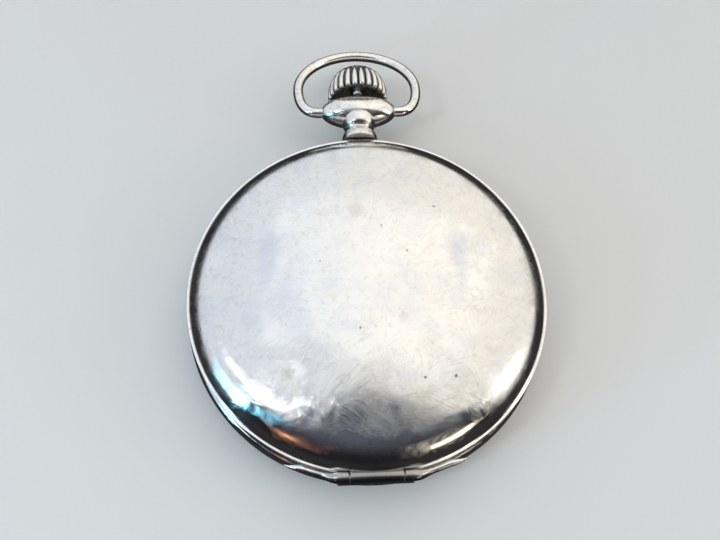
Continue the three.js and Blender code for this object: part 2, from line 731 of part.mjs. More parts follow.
// Phases run along the train from the barrel, so that every pair is in mesh at rest.
const barrelPhase = 0;
const centrePinionPhase = meshPhase(barrelPhase, BARREL, CENTRE, GEARS.barrel, GEARS.centrePinion);
const thirdPinionPhase = meshPhase(0, CENTRE, THIRD, GEARS.centre, GEARS.thirdPinion);
const fourthPinionPhase = meshPhase(0, THIRD, FOURTH, GEARS.third, GEARS.fourthPinion);
const escapePinionPhase = meshPhase(0, FOURTH, ESCAPE_AT, GEARS.fourth, GEARS.escapePinion);
const minutePhase = meshPhase(0, CENTRE, MINUTE_AT, GEARS.cannon, GEARS.minute);
const hourPhase = meshPhase(0, MINUTE_AT, CENTRE, GEARS.minutePinion, GEARS.hour);
const settingPhase = meshPhase(minutePhase, MINUTE_AT, SETTING_AT, GEARS.minute, GEARS.setting);
const crownWheelPhase = meshPhase(0, BARREL, CROWN_WHEEL_AT, GEARS.ratchet, GEARS.crownWheel);

const centreWheel = () =>
  trainWheel({
    wheel: GEARS.centre,
    pinion: GEARS.centrePinion,
    pinionPhase: centrePinionPhase,
    arbor: [
      [0, 2.95],
      [0.3, 2.95],
      [0.3, 5.9],
      [0.6, 5.9],
      [0.6, TRAIN_BRIDGE.bottom - 0.1],
      [0.35, TRAIN_BRIDGE.bottom - 0.1],
      [0.35, BRIDGE.top - 0.1],
      [0, BRIDGE.top - 0.1],
    ],
  });

const thirdWheel = () =>
  place(
    trainWheel({
      wheel: GEARS.third,
      pinion: GEARS.thirdPinion,
      pinionPhase: thirdPinionPhase,
      arbor: arborOf(5.5, 9.9, 0.32, 0.15),
    }),
    THIRD,
  );

function fourthWheel() {
  const body = trainWheel({
    wheel: GEARS.fourth,
    pinion: GEARS.fourthPinion,
    pinionPhase: fourthPinionPhase,
    arbor: arborOf(5.5, 9.9, 0.3, 0.15),
  });
  return place(union(body, disc(0.2, 3.75, 7, CENTRE, 10)), FOURTH);
}

function escapeWheel() {
  const { teeth, tip, root, low, high } = ESCAPE;
  const points = [];
  for (let i = 0; i < teeth; i++)
    for (const [share, radius] of [
      [0, root],
      [0.42, tip],
      [0.6, tip - 0.12],
      [0.34, root],
    ]) {
      const angle = ((i + share) / teeth) * 2 * Math.PI;
      points.push([radius * Math.cos(angle), radius * Math.sin(angle)]);
    }
  const plain = sheet(outline(points), low, high);
  const leaves = sheet(
    toothed(GEARS.escapePinion, escapePinionPhase, LEAF),
    GEARS.escapePinion.low,
    GEARS.escapePinion.high,
  );
  return place(union(plain, leaves, turned(arborOf(5.5, 9.9, 0.25, 0.13), 8)), ESCAPE_AT);
}

function hourWheel() {
  const { hour } = GEARS;
  const body = union(sheet(toothed(hour, hourPhase, POINTED), hour.low, hour.high), disc(1, 3.3, 5.3));
  return cut(body, disc(0.78, 0, 8));
}

function cannonPinion() {
  const { cannon } = GEARS;
  const body = union(sheet(toothed(cannon, 0, LEAF), cannon.low, cannon.high), disc(0.62, 2.75, 5.5));
  return cut(body, disc(0.42, 0, 8, CENTRE, 12));
}

function minuteWheel() {
  const { minute, minutePinion } = GEARS;
  const body = union(
    sheet(toothed(minute, minutePhase, POINTED), minute.low, minute.high),
    sheet(toothed(minutePinion, 0, LEAF), minutePinion.low, minutePinion.high + 0.1),
  );
  return place(cut(body, disc(0.48, 0, 8, CENTRE, 12)), MINUTE_AT);
}

function settingWheel() {
  const { setting } = GEARS;
  const body = sheet(toothed(setting, settingPhase, POINTED), setting.low, setting.high);
  return place(cut(body, disc(0.48, 0, 8, CENTRE, 12)), SETTING_AT);
}

function ratchetWheel() {
  const { ratchet } = GEARS;
  const body = sheet(toothed(ratchet, 0, POINTED), ratchet.low, ratchet.high);
  return place(cut(body, block(-0.62, 0.62, -0.62, 0.62, 0, 20)), BARREL);
}

function crownWheel() {
  const { crownWheel: gear } = GEARS;
  const skirt = ring(3.1, 3.55, 9.05, gear.low + 0.1, CENTRE, 16);
  const body = union(sheet(toothed(gear, crownWheelPhase, POINTED), gear.low, gear.high), skirt);
  return place(cut(body, disc(0.75, 0, 20, CENTRE, 12)), CROWN_WHEEL_AT);
}

// ---- Power: barrel, spring, ratchet's arbor and click -------------------------------------------

function mainspringBarrel() {
  const { barrel } = GEARS;
  const flange = sheet(toothed(barrel, barrelPhase, FINE), barrel.low, barrel.high);
  const drum = disc(7.4, 6.95, 8.3, CENTRE, 20);
  const hollow = disc(7.05, 7.25, 10, CENTRE, 20);
  return place(cut(union(flange, drum), hollow, disc(0.8, 0, 20, CENTRE, 14)), BARREL);
}

const barrelCover = () => ring(0.8, 6.8, 8.32, 8.5, BARREL, 20);

const mainspring = () => place(coil(2.2, 6.7, 6, 0.22, 7.4, 8.15, 0, 54), BARREL);

function barrelArbor() {
  const square = block(-0.5, 0.5, -0.5, 0.5, 9.2, 9.75);
  const body = turned(
    [
      [0, 5.2],
      [0.7, 5.2],
      [0.7, 7.35],
      [1.6, 7.35],
      [1.6, 8.2],
      [0.7, 8.2],
      [0.7, 9.25],
      [0, 9.25],
    ],
    14,
  );
  return place(union(body, square), BARREL);
}

function click() {
  const tip = polar(6.35, 84, BARREL);
  const beak = capsule(CLICK_AT, tip, 0.85, 0.18, 9.42, 9.75);
  return cut(beak, disc(0.5, 0, 20, CLICK_AT, 12));
}

function clickSpring() {
  const anchor = polar(7, 140, BARREL);
  const free = polar(7.55, 114, BARREL);
  return union(capsule(anchor, free, 0.5, 0.14, 9.42, 9.7), disc(0.35, 9.42, 9.85, anchor, 10));
}

// ---- Escapement ---------------------------------------------------------------------------------

function palletFork() {
  const along = ESCAPE_LINE;
  const at = (reach, side) => {
    const [x, y] = polar(reach, along, PALLET_AT);
    return polar(side, along + 90, [x, y]);
  };
  const { low, high } = ESCAPE;
  const body = union(
    disc(0.75, low, high, PALLET_AT, 14),
    capsule(at(0, 0), at(-0.9, 2.1), 0.5, 0.28, low, high),
    capsule(at(0, 0), at(-0.9, -2.1), 0.5, 0.28, low, high),
    capsule(at(0, 0), at(4.35, 0), 0.45, 0.25, low, high),
    capsule(at(4.2, 0), at(5, 0.42), 0.26, 0.14, low, high),
    capsule(at(4.2, 0), at(5, -0.42), 0.26, 0.14, low, high),
  );
  const arbor = turned(
    [
      [0, 5.5],
      [0.13, 5.5],
      [0.13, 6.87],
      [0.28, 6.87],
      [0.28, 7.9],
      [0.13, 7.9],
      [0.13, 8.5],
      [0, 8.5],
    ],
    8,
  );
  return union(body, place(arbor, PALLET_AT));
}

function balanceWheel() {
  const { radius, rim, low, high, armLow, armHigh } = BALANCE;
  const band = ring(radius - rim, radius, low, high, CENTRE, 32);
  const arms = [0, 60, 120].map((angle) =>
    block(-radius + 0.2, radius - 0.2, -0.38, 0.38, armLow, armHigh).rotate([0, 0, angle]),
  );
  const hub = disc(1, 9.15, 9.5, CENTRE, 16);
  return place(cut(union(band, ...arms, hub), disc(0.48, 0, 20, CENTRE, 14)), BALANCE_AT);
}

function balanceStaff() {
  return place(
    turned(
      [
        [0, 5.6],
        [0.13, 5.6],
        [0.13, 6.9],
        [0.36, 6.9],
        [0.36, 9.55],
        [0.8, 9.6],
        [0.8, 9.85],
        [0.36, 9.9],
        [0.36, 10.25],
        [0.13, 10.25],
        [0.13, 11],
        [0, 11],
      ],
      12,
    ),
    BALANCE_AT,
  );
}

function rollerTable() {
  const pinAt = polar(0.9, ESCAPE_LINE + 180);
  const table = union(disc(1.15, 7.75, 8, CENTRE, 18), disc(0.16, 7.55, 7.9, pinAt, 8));
  return place(cut(table, disc(0.48, 0, 20, CENTRE, 12)), BALANCE_AT);
}

const hairspring = () => place(coil(1.15, 3.1, 5, 0.1, 9.98, 10.2, 0, 50), BALANCE_AT);

// ---- Dial, hands and keyless work ---------------------------------------------------------------

function dial() {
  const { radius, front, back, sunkRadius, sunkDepth } = DIAL;
  return cut(
    disc(radius, front, back, CENTRE, 40),
    disc(sunkRadius, 0, front + sunkDepth, FOURTH, 32),
    disc(1.15, 0, 8, CENTRE, 16),
    disc(0.4, 0, 8, FOURTH, 12),
  );
}

// Hands turn about +Z from 12 o'clock, which is clockwise seen from the dial's side.
function hand({ at, angle, length, tail, hub, bore, width, low, high }) {
  const heading = 90 + angle;
  const body = union(
    disc(hub, low, high, at, 16),
    capsule(at, polar(length, heading, at), width, width * 0.3, low, high),
    capsule(at, polar(tail, heading + 180, at), width, width * 1.2, low, high),
  );
  return cut(body, disc(bore, 0, 8, at, 12));
}

const minutesShown = TIME.minute + TIME.second / 60;
const hourHand = () =>
  hand({
    at: CENTRE,
    angle: 30 * (TIME.hour + minutesShown / 60),
    length: 11,
    tail: 3,
    hub: 1.5,
    bore: 1.04,
    width: 0.5,
    low: 3.35,
    high: 3.6,
  });
const minuteHand = () =>
  hand({
    at: CENTRE,
    angle: 6 * minutesShown,
    length: 17,
    tail: 4,
    hub: 1.1,
    bore: 0.66,
    width: 0.42,
    low: 2.8,
    high: 3.05,
  });
const secondsHand = () =>
  hand({
    at: FOURTH,
    angle: 6 * TIME.second,
    length: 4.2,
    tail: 1.6,
    hub: 0.5,
    bore: 0.24,
    width: 0.16,
    low: 3.8,
    high: 3.95,
  });

function yoke() {
  const arm = capsule(YOKE_AT, [-1.9, 16], 0.9, 0.3, 5.1, 5.5);
  const finger = block(-2.05, -1.7, 15.75, 16.25, 5.2, 6.6);
  return cut(union(arm, finger), disc(0.48, 0, 8, YOKE_AT, 12));
}

const settingLever = () =>
  cut(capsule(LEVER_AT, [1.9, 18.9], 0.85, 0.3, 5.1, 5.5), disc(0.48, 0, 8, LEVER_AT, 12));

// ---- Assembly -----------------------------------------------------------------------------------

const finish = (color, roughness, metalness = 1) =>
  new THREE.MeshStandardMaterial({ color, roughness, metalness });
const SILVER = finish(0xc9cac8, 0.28);
const BRIGHT = finish(0xd6d3cc, 0.22);
const STEEL = finish(0xa9adb2, 0.3);
const NICKEL = finish(0xb9b7ae, 0.35);
const BRASS = finish(0xc9a24e, 0.32);
const BLUED = finish(0x1f3566, 0.3);
const ENAMEL = finish(0xf3f1e8, 0.25, 0);
const GLASS = finish(0xe8f2f2, 0.05, 0);

const pieces = [
  ["case_middle", caseMiddle, SILVER],
  ["pendant", pendant, BRIGHT],
  ["back_cover", backCover, SILVER],
  ["back_hinge_pin", () => hingeRod(BACK_HINGE, BACK_HINGE.pin, -5.4, 5.4), STEEL],
  ["bezel", bezel, SILVER],
  ["bezel_hinge_pin", () => hingeRod(BEZEL_HINGE, BEZEL_HINGE.pin, -4.9, 4.9), STEEL],
  ["crystal", crystal, GLASS],
  ["bow", bow, BRIGHT],
  ["crown", crown, BRIGHT],
  ["winding_stem", windingStem, STEEL],
  ["winding_pinion", windingPinion, STEEL],
  ["sliding_clutch", clutch, STEEL],
  ["setting_lever", settingLever, STEEL],
  ["clutch_yoke", yoke, STEEL],
  ["main_plate", mainPlate, NICKEL],
  ["barrel_bridge", barrelBridge, NICKEL],
  ["train_bridge", trainBridge, NICKEL],
  ["pallet_bridge", palletBridge, NICKEL],
  ["balance_cock", balanceCock, NICKEL],
  ["regulator", regulator, STEEL],
  ["balance_end_cap", () => disc(0.62, 11.1, 11.3, BALANCE_AT, 14), BLUED],
  ["mainspring_barrel", mainspringBarrel, BRASS],
  ["barrel_cover", barrelCover, BRASS],
  ["mainspring", mainspring, STEEL],
  ["barrel_arbor", barrelArbor, STEEL],
  ["ratchet_wheel", ratchetWheel, STEEL],
  ["ratchet_screw", () => screw(BARREL, 10.45, 9.78, 1.5, 0.3), BLUED],
  ["crown_wheel", crownWheel, STEEL],
  ["crown_wheel_screw", () => screw(CROWN_WHEEL_AT, 10.45, 8.7, 1.3, 0.5), BLUED],
  ["click", click, STEEL],
  ["click_screw", () => screw(CLICK_AT, 10.4, 9, 0.75, 0.38), BLUED],
  ["click_spring", clickSpring, BLUED],
  ["centre_wheel", centreWheel, BRASS],
  ["third_wheel", thirdWheel, BRASS],
  ["fourth_wheel", fourthWheel, BRASS],
  ["escape_wheel", escapeWheel, STEEL],
  ["pallet_fork", palletFork, STEEL],
  ["balance_wheel", balanceWheel, BRASS],
  ["balance_staff", balanceStaff, STEEL],
  ["roller_table", rollerTable, STEEL],
  ["hairspring", hairspring, BLUED],
  ["cannon_pinion", cannonPinion, STEEL],
  ["hour_wheel", hourWheel, BRASS],
  ["minute_wheel", minuteWheel, BRASS],
  ["setting_wheel", settingWheel, STEEL],
  ["dial", dial, ENAMEL],
  ["hour_hand", hourHand, BLUED],
  ["minute_hand", minuteHand, BLUED],
  ["seconds_hand", secondsHand, BLUED],
  ["cock_screw", () => screw(COCK_SCREW_AT, 11.15, 5.4, 1.1, 0.55), BLUED],
  ["pallet_bridge_screw", () => screw(PALLET_FOOT, 9, 7, 0.75, 0.35), BLUED],
  ...Object.entries(SCREWS).map(([name, { at, top, bottom }]) => [name, () => screw(at, top, bottom), BLUED]),
  ["case_screw_left", () => screw(polar(21.6, 155), 7.5, 6.85, 1.05, 0.3), BLUED],
  ["case_screw_right", () => screw(polar(21.6, -20), 7.5, 6.85, 1.05, 0.3), BLUED],
];

const watch = new THREE.Group();
for (const [name, make, material] of pieces) {
  const mesh = new THREE.Mesh(geometryOf(make()), material);
  mesh.name = name;
  watch.add(mesh);
}

export default watch;
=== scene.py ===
"""Open face pocket watch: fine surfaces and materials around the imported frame. Metres in Blender,
millimetres in the shape functions, +Z through the back, +Y towards the pendant."""

import json
import math

import bmesh
import bpy
from mathutils import Matrix, Vector

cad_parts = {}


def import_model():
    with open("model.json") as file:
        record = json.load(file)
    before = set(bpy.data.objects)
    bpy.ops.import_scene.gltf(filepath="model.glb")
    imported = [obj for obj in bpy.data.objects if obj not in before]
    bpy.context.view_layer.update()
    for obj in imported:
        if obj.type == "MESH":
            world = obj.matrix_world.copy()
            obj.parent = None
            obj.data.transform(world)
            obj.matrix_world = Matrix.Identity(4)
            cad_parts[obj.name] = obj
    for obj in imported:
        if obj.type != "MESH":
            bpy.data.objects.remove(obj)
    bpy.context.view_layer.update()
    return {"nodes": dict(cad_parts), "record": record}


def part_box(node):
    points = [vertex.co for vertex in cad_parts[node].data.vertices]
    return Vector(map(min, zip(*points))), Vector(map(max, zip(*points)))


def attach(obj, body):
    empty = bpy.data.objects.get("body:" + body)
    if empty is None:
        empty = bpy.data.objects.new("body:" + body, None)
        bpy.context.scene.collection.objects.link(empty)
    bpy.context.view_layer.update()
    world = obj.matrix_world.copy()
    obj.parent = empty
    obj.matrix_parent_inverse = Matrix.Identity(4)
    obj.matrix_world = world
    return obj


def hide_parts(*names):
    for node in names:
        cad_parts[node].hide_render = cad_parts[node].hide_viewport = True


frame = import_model()
MM = 0.001

# ---- Places and sizes, in millimetres, read from the frame ---------------------------------------


def joint_place(name):
    """Where a joint's axis stands."""
    joint = next(j for j in frame["record"]["behaviour"]["joints"] if j["name"] == name)
    return Vector(joint["pos_m"]) / MM


def extent(node):
    """Lowest and highest corner of a CAD node."""
    low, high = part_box(node)
    return Vector(low) / MM, Vector(high) / MM


RIM_RADIUS = extent("case_middle")[1].x
COVER_BASE = 8.05
FLANGE_TOP = 8.3
DOME_TOP = extent("back_cover")[1].z
BACK_HINGE = joint_place("back_cover_hinge")
BEZEL_HINGE = joint_place("bezel_hinge")
BOW_PIVOT = joint_place("bow_swing")
STEM_Z = BOW_PIVOT.z
CROWN_START = extent("crown")[0].y
CROWN_END = extent("crown")[1].y
BOW_DROOP = math.radians(10)
BOW_WIRE = 0.78
FLUTES = 24
BALANCE = joint_place("balance_swing")
FOURTH = joint_place("fourth_turn")

# Hinge barrels: radius, the radius cut clear around one, the pin's bore, and half the middle barrel
BACK_BARREL = 0.8
BACK_CLEAR = 0.95
BACK_BORE = 0.46
BACK_HALF = 3.4
BEZEL_BARREL = 0.6
BEZEL_CLEAR = 0.72
BEZEL_BORE = 0.34
BEZEL_HALF = 2
HINGE_GAP = 0.12
WING_END = 11.6

# ---- Mesh helpers ---------------------------------------------------------------------------------


def mesh_object(name, verts, faces, smooth=True, merge=True):
    mesh = bpy.data.meshes.new(name)
    mesh.from_pydata([Vector(v) * MM for v in verts], [], faces)
    work = bmesh.new()
    work.from_mesh(mesh)
    if merge:
        bmesh.ops.remove_doubles(work, verts=work.verts, dist=1e-7)
    bmesh.ops.recalc_face_normals(work, faces=work.faces)
    work.to_mesh(mesh)
    work.free()
    for polygon in mesh.polygons:
        polygon.use_smooth = smooth
    piece = bpy.data.objects.new(name, mesh)
    bpy.context.scene.collection.objects.link(piece)
    return piece


def soften(points, radius=0.15, steps=3, closed=False):
    """Rounds the corners of an outline given as [(a, b, optional radius), ...]."""
    count = len(points)
    result = []
    for i, point in enumerate(points):
        here = Vector(point[:2])
        if not closed and i in (0, count - 1):
            result.append(tuple(here))
            continue
        before = Vector(points[i - 1][:2]) - here
        after = Vector(points[(i + 1) % count][:2]) - here
        reach = point[2] if len(point) > 2 else radius
        reach = min(reach, 0.45 * before.length, 0.45 * after.length)
        start = here + before.normalized() * reach
        end = here + after.normalized() * reach
        for k in range(steps + 1):
            t = k / steps
            result.append(tuple(start * (1 - t) ** 2 + here * (2 * t * (1 - t)) + end * t * t))
    return result


def arc(centre, radius, start, end, steps):
    """Points of a round arc; angles in degrees from the second axis towards the first."""
    turns = [math.radians(start + (end - start) * i / steps) for i in range(steps + 1)]
    return [(centre[0] + radius * math.sin(t), centre[1] + radius * math.cos(t)) for t in turns]


def lathe(name, profile, segments=160, closed=False, shape=None):
    """A body turned about +Z from (radius, height) points. shape(r, angle, z) may move a point."""
    verts = []
    for k in range(segments):
        angle = 2 * math.pi * k / segments
        for r, z in profile:
            if shape:
                r, z = shape(r, angle, z)
            verts.append((r * math.cos(angle), r * math.sin(angle), z))
    rows = len(profile)
    faces = []
    for k in range(segments):
        following = (k + 1) % segments
        for i in range(rows if closed else rows - 1):
            j = (i + 1) % rows
            faces.append((k * rows + i, following * rows + i, following * rows + j, k * rows + j))
    piece = mesh_object(name, verts, faces)
    drop_slivers(piece)
    return piece


def drop_slivers(piece):
    work = bmesh.new()
    work.from_mesh(piece.data)
    bmesh.ops.dissolve_degenerate(work, edges=work.edges, dist=1e-7)
    work.to_mesh(piece.data)
    work.free()


def move(piece, x, y, z=0):
    """Moves a piece's mesh by millimetres."""
    piece.data.transform(Matrix.Translation((x * MM, y * MM, z * MM)))
    return piece


def turn_to_y(piece):
    """Lays a body turned about Z along +Y at the stem's height."""
    piece.data.transform(Matrix.Translation((0, 0, STEM_Z * MM)) @ Matrix.Rotation(-math.pi / 2, 4, "X"))
    return piece


def sweep(name, points, radius, sides=16):
    """A round rod along points; radius is a number or a function of the share along the path."""
    path = [Vector(p) for p in points]
    width = radius if callable(radius) else (lambda share: radius)
    tangents = []
    for i in range(len(path)):
        ahead = path[min(i + 1, len(path) - 1)] - path[max(i - 1, 0)]
        tangents.append(ahead.normalized())
    side = tangents[0].orthogonal().normalized()
    verts = []
    for i, (spot, tangent) in enumerate(zip(path, tangents)):
        side = (side - tangent * side.dot(tangent)).normalized()
        other = tangent.cross(side)
        r = width(i / (len(path) - 1))
        for k in range(sides):
            angle = 2 * math.pi * k / sides
            verts.append(spot + side * (r * math.cos(angle)) + other * (r * math.sin(angle)))
    faces = [tuple(range(sides)), tuple(range(len(verts) - sides, len(verts)))]
    for i in range(len(path) - 1):
        for k in range(sides):
            j = (k + 1) % sides
            faces.append((i * sides + k, i * sides + j, (i + 1) * sides + j, (i + 1) * sides + k))
    return mesh_object(name, verts, faces)


def rod_x(name, radius, x0, x1, y, z, edge=0.12):
    """A rod along X with rounded ends."""
    profile = soften([(0, x0), (radius, x0), (radius, x1), (0, x1)], edge)
    piece = lathe(name, profile, 48)
    piece.data.transform(Matrix.Rotation(math.pi / 2, 4, "Y"))
    return move(piece, 0, y, z)


def carve(piece, cutters, operation="DIFFERENCE"):
    """Cuts the cutters out of a piece, or joins them to it, and deletes them."""
    for cutter in cutters:
        modifier = piece.modifiers.new("carve", "BOOLEAN")
        modifier.operation = operation
        modifier.object = cutter
        modifier.solver = "EXACT"
    bpy.context.view_layer.update()
    evaluated = piece.evaluated_get(bpy.context.evaluated_depsgraph_get())
    mesh = bpy.data.meshes.new_from_object(evaluated)
    piece.modifiers.clear()
    piece.data = mesh
    for cutter in cutters:
        bpy.data.objects.remove(cutter)
    for polygon in mesh.polygons:
        polygon.use_smooth = True
    return piece


def settle(piece, body, slot, material, *nodes):
    """Gives a piece its material and its body, and hides the CAD nodes that it stands for. The slot is not
    used.
    """
    piece.data.materials.clear()
    piece.data.materials.append(material)
    if piece.data.polygons and piece.data.polygons[0].use_smooth:
        sharp_edges(piece)
    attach(piece, body)
    if nodes:
        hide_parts(*nodes)
    return piece


def sharp_edges(piece, limit=35):
    """Marks edges sharper than the limit, so that smooth shading stops at them."""
    work = bmesh.new()
    work.from_mesh(piece.data)
    for edge in work.edges:
        if len(edge.link_faces) == 2 and edge.calc_face_angle(0) > math.radians(limit):
            edge.smooth = False
    work.to_mesh(piece.data)
    work.free()


# ---- Materials ------------------------------------------------------------------------------------


class Nodes:
    """Short ways of adding nodes to a tree and joining them."""

    def __init__(self, tree):
        self.tree = tree

    def node(self, kind, **settings):
        node = self.tree.nodes.new(kind)
        for key, value in settings.items():
            setattr(node, key, value)
        return node

    def link(self, source, target):
        self.tree.links.new(source, target)

    def ramp(self, source, start, end, low=0.0, high=1.0):
        """Carries values from start..end to low..high, smoothly and no further."""
        node = self.node("ShaderNodeMapRange", interpolation_type="SMOOTHSTEP")
        node.inputs["From Min"].default_value = start
        node.inputs["From Max"].default_value = end
        node.inputs["To Min"].default_value = low
        node.inputs["To Max"].default_value = high
        self.link(source, node.inputs["Value"])
        return node.outputs["Result"]

    def math(self, operation, first, second):
        node = self.node("ShaderNodeMath", operation=operation)
        for value, socket in ((first, node.inputs[0]), (second, node.inputs[1])):
            if isinstance(value, (int, float)):
                socket.default_value = value
            else:
                self.link(value, socket)
        return node.outputs[0]

    def mix(self, share, first, second):
        node = self.node("ShaderNodeMix", data_type="RGBA")
        factor = node.inputs[0]
        a, b = node.inputs[6], node.inputs[7]
        self.link(share, factor)
        for value, socket in ((first, a), (second, b)):
            if isinstance(value, tuple):
                socket.default_value = (*value, 1)
            else:
                self.link(value, socket)
        return node.outputs[2]


class Surface(Nodes):
    """A procedural material; its texture space is the piece's own, in millimetres."""

    def __init__(self, name, color, metallic=0.0, roughness=0.4):
        self.material = bpy.data.materials.new(name)
        self.material.use_nodes = True
        super().__init__(self.material.node_tree)
        self.shader = next(n for n in self.tree.nodes if n.type == "BSDF_PRINCIPLED")
        self.shader.inputs["Base Color"].default_value = (*color, 1)
        self.shader.inputs["Metallic"].default_value = metallic
        self.shader.inputs["Roughness"].default_value = roughness
        place = self.node("ShaderNodeTexCoord")
        self.space = self.mapped(place.outputs["Object"], (1000, 1000, 1000))

    def mapped(self, source, scale, turn=(0, 0, 0), shift=(0, 0, 0)):
        mapping = self.node("ShaderNodeMapping")
        mapping.inputs["Scale"].default_value = scale
        mapping.inputs["Rotation"].default_value = [math.radians(a) for a in turn]
        mapping.inputs["Location"].default_value = shift
        self.link(source, mapping.inputs["Vector"])
        return mapping.outputs["Vector"]

    def noise(self, size, detail=3.0, stretch=(1, 1, 1), turn=(0, 0, 0), warp=0.0, rough=0.5):
        """Cloudy values between 0 and 1 with patches about size millimetres wide."""
        turned = self.mapped(self.space, (1, 1, 1), turn) if any(turn) else self.space
        scaled = self.mapped(turned, [1 / (size * s) for s in stretch])
        texture = self.node("ShaderNodeTexNoise")
        texture.inputs["Scale"].default_value = 1
        texture.inputs["Detail"].default_value = detail
        texture.inputs["Roughness"].default_value = rough
        texture.inputs["Distortion"].default_value = warp
        self.link(scaled, texture.inputs["Vector"])
        return texture.outputs["Fac"]

    def spots(self, spacing, radius, shift=(0, 0, 0)):
        """1 inside scattered round spots of about the radius, 0 outside."""
        scaled = self.mapped(self.space, (1 / spacing, 1 / spacing, 1 / spacing), shift=shift)
        cells = self.node("ShaderNodeTexVoronoi")
        cells.inputs["Scale"].default_value = 1
        self.link(scaled, cells.inputs["Vector"])
        return self.ramp(cells.outputs["Distance"], radius / spacing * 0.6, radius / spacing, 1, 0)

    def blob(self, centre, size, ragged=0.0):
        """1 at centre, fading to 0 at size (a number, or one for each axis) from it."""
        size = (size, size, size) if isinstance(size, (int, float)) else size
        shift = [-c / s for c, s in zip(centre, size)]
        place = self.mapped(self.space, [1 / s for s in size], shift=shift)
        length = self.node("ShaderNodeVectorMath", operation="LENGTH")
        self.link(place, length.inputs[0])
        reach = length.outputs["Value"]
        if ragged:
            wave = self.math("MULTIPLY", self.math("SUBTRACT", self.noise(0.3 * max(size), 3), 0.5), ragged)
            reach = self.math("ADD", reach, wave)
        return self.ramp(reach, 0.15, 1.0, 1, 0)

    def largest(self, values):
        total = values[0]
        for value in values[1:]:
            total = self.math("MAXIMUM", total, value)
        return total

    def color(self, source):
        self.link(source, self.shader.inputs["Base Color"])

    def roughness(self, source):
        self.link(source, self.shader.inputs["Roughness"])

    def bump(self, height, depth, strength=1.0):
        """Raises the surface by height (0 to 1) times depth, in millimetres."""
        node = self.node("ShaderNodeBump")
        node.inputs["Distance"].default_value = depth * MM
        node.inputs["Strength"].default_value = strength
        self.link(height, node.inputs["Height"])
        normal = self.shader.inputs["Normal"]
        if normal.is_linked:
            self.link(normal.links[0].from_socket, node.inputs["Normal"])
        self.link(node.outputs["Normal"], normal)


def scratches(surface, count, size=0.16, length=60, width=0.02):
    """Straight hairlines in several directions: 1 on a line, 0 beside it."""
    total = None
    for i in range(count):
        turn = (0, 0, 23 + i * 180 / count + 11 * math.sin(5 * i))
        lines = surface.noise(size, 1.5, (length, 1, length), turn)
        line = surface.ramp(surface.math("ABSOLUTE", surface.math("SUBTRACT", lines, 0.5), 0), 0, width, 1, 0)
        patches = surface.noise(5, 2, turn=(0, 0, 37 * i + 10))
        line = surface.math("MULTIPLY", line, surface.ramp(patches, 0.5, 0.62))
        total = line if total is None else surface.math("MAXIMUM", total, line)
    return total


PITS = [(9.5, 10.5, 0.24), (1.9, 7.2, 0.17), (10.4, -13.7, 0.28), (6.4, -13.9, 0.2), (-6.5, 2.0, 0.13)]
SMUDGES = [((-13.5, 3, 13.2), (2.2, 6, 6)), ((12.2, 3, 13.2), (2, 6.5, 6))]
BRUISES = [(-10.9, -12.6, 1.5), (-1.3, 9.7, 1.9), (4.0, -6.0, 1.0)]


def case_silver():
    """Worn silver: hairlines, soft stains, small pits, a slightly uneven polish, and painted shade near the
    hinge.
    """
    s = Surface("case_silver", (0.82, 0.81, 0.79), 1.0, 0.2)
    freckles = s.ramp(s.noise(0.9, 6, warp=0.3, rough=0.65), 0.5, 0.72)
    clouds = s.ramp(s.noise(6, 4, warp=0.8), 0.42, 0.68)
    smudges = s.largest([s.blob(centre, size, 1.2) for centre, size in SMUDGES])
    bruises = s.largest([s.blob((x, y, 13.3), (size, size, 3), 1.0) for x, y, size in BRUISES])
    chips = s.largest([s.blob((x, y, 13.5), (size, size, 4), 0.8) for x, y, size in PITS])
    pits = s.math("MAXIMUM", chips, s.math("MULTIPLY", s.spots(5.2, 0.22), 0.8))
    lines = scratches(s, 7, 0.13, 90, 0.016)
    fuzz = scratches(s, 4, 0.05, 50, 0.03)
    # Painted shade: a strong dark blob on the silver round the back hinge.
    low = s.blob((0, -25.8, 8), (16, 3.0, 4.5), 0.2)
    base = s.mix(clouds, (0.88, 0.87, 0.84), (0.80, 0.80, 0.82))
    layers = [(freckles, 0.6, (0.70, 0.67, 0.61)), (smudges, 0.55, (0.62, 0.66, 0.78))]
    layers += [(bruises, 0.4, (0.55, 0.52, 0.42)), (lines, 0.45, (0.45, 0.44, 0.43))]
    layers += [(fuzz, 0.2, (0.5, 0.49, 0.48)), (low, 0.85, (0.14, 0.13, 0.11))]
    layers.append((pits, 0.85, (0.09, 0.07, 0.05)))
    for share, strength, tint in layers:
        base = s.mix(s.math("MULTIPLY", share, strength), base, tint)
    s.color(base)
    worn = s.ramp(s.noise(3, 5), 0.3, 0.75, 0.07, 0.14)
    s.roughness(s.math("ADD", worn, s.math("MULTIPLY", s.math("MAXIMUM", low, smudges), 0.12)))
    s.bump(s.noise(9, 1), 0.012, 0.4)
    s.bump(s.noise(0.45, 4), 0.002, 0.25)
    s.bump(lines, -0.004, 0.6)
    s.bump(fuzz, -0.0015, 0.4)
    s.bump(pits, -0.03, 0.8)
    return s.material


def pendant_nickel():
    """The pendant and bow: brighter and smoother than the case, darker round the pendant's root."""
    s = Surface("pendant_nickel", (0.84, 0.82, 0.78), 1.0, 0.16)
    grime = s.ramp(s.noise(0.9, 5, warp=0.5), 0.48, 0.7)
    # Darker round the pendant's root, where it meets the case.
    joint = s.blob((0, 26.2, 7), (4, 1.3, 4), 0.3)
    lines = scratches(s, 3, 0.12, 40)
    base = s.mix(s.math("MULTIPLY", grime, 0.5), (0.87, 0.85, 0.81), (0.62, 0.57, 0.49))
    base = s.mix(s.math("MULTIPLY", lines, 0.4), base, (0.42, 0.4, 0.37))
    s.color(s.mix(s.math("MULTIPLY", joint, 0.4), base, (0.3, 0.28, 0.24)))
    s.roughness(s.ramp(s.noise(1.4, 4), 0.35, 0.7, 0.13, 0.27))
    s.bump(s.noise(1.5, 4), 0.02, 0.4)
    s.bump(lines, -0.004, 0.7)
    return s.material


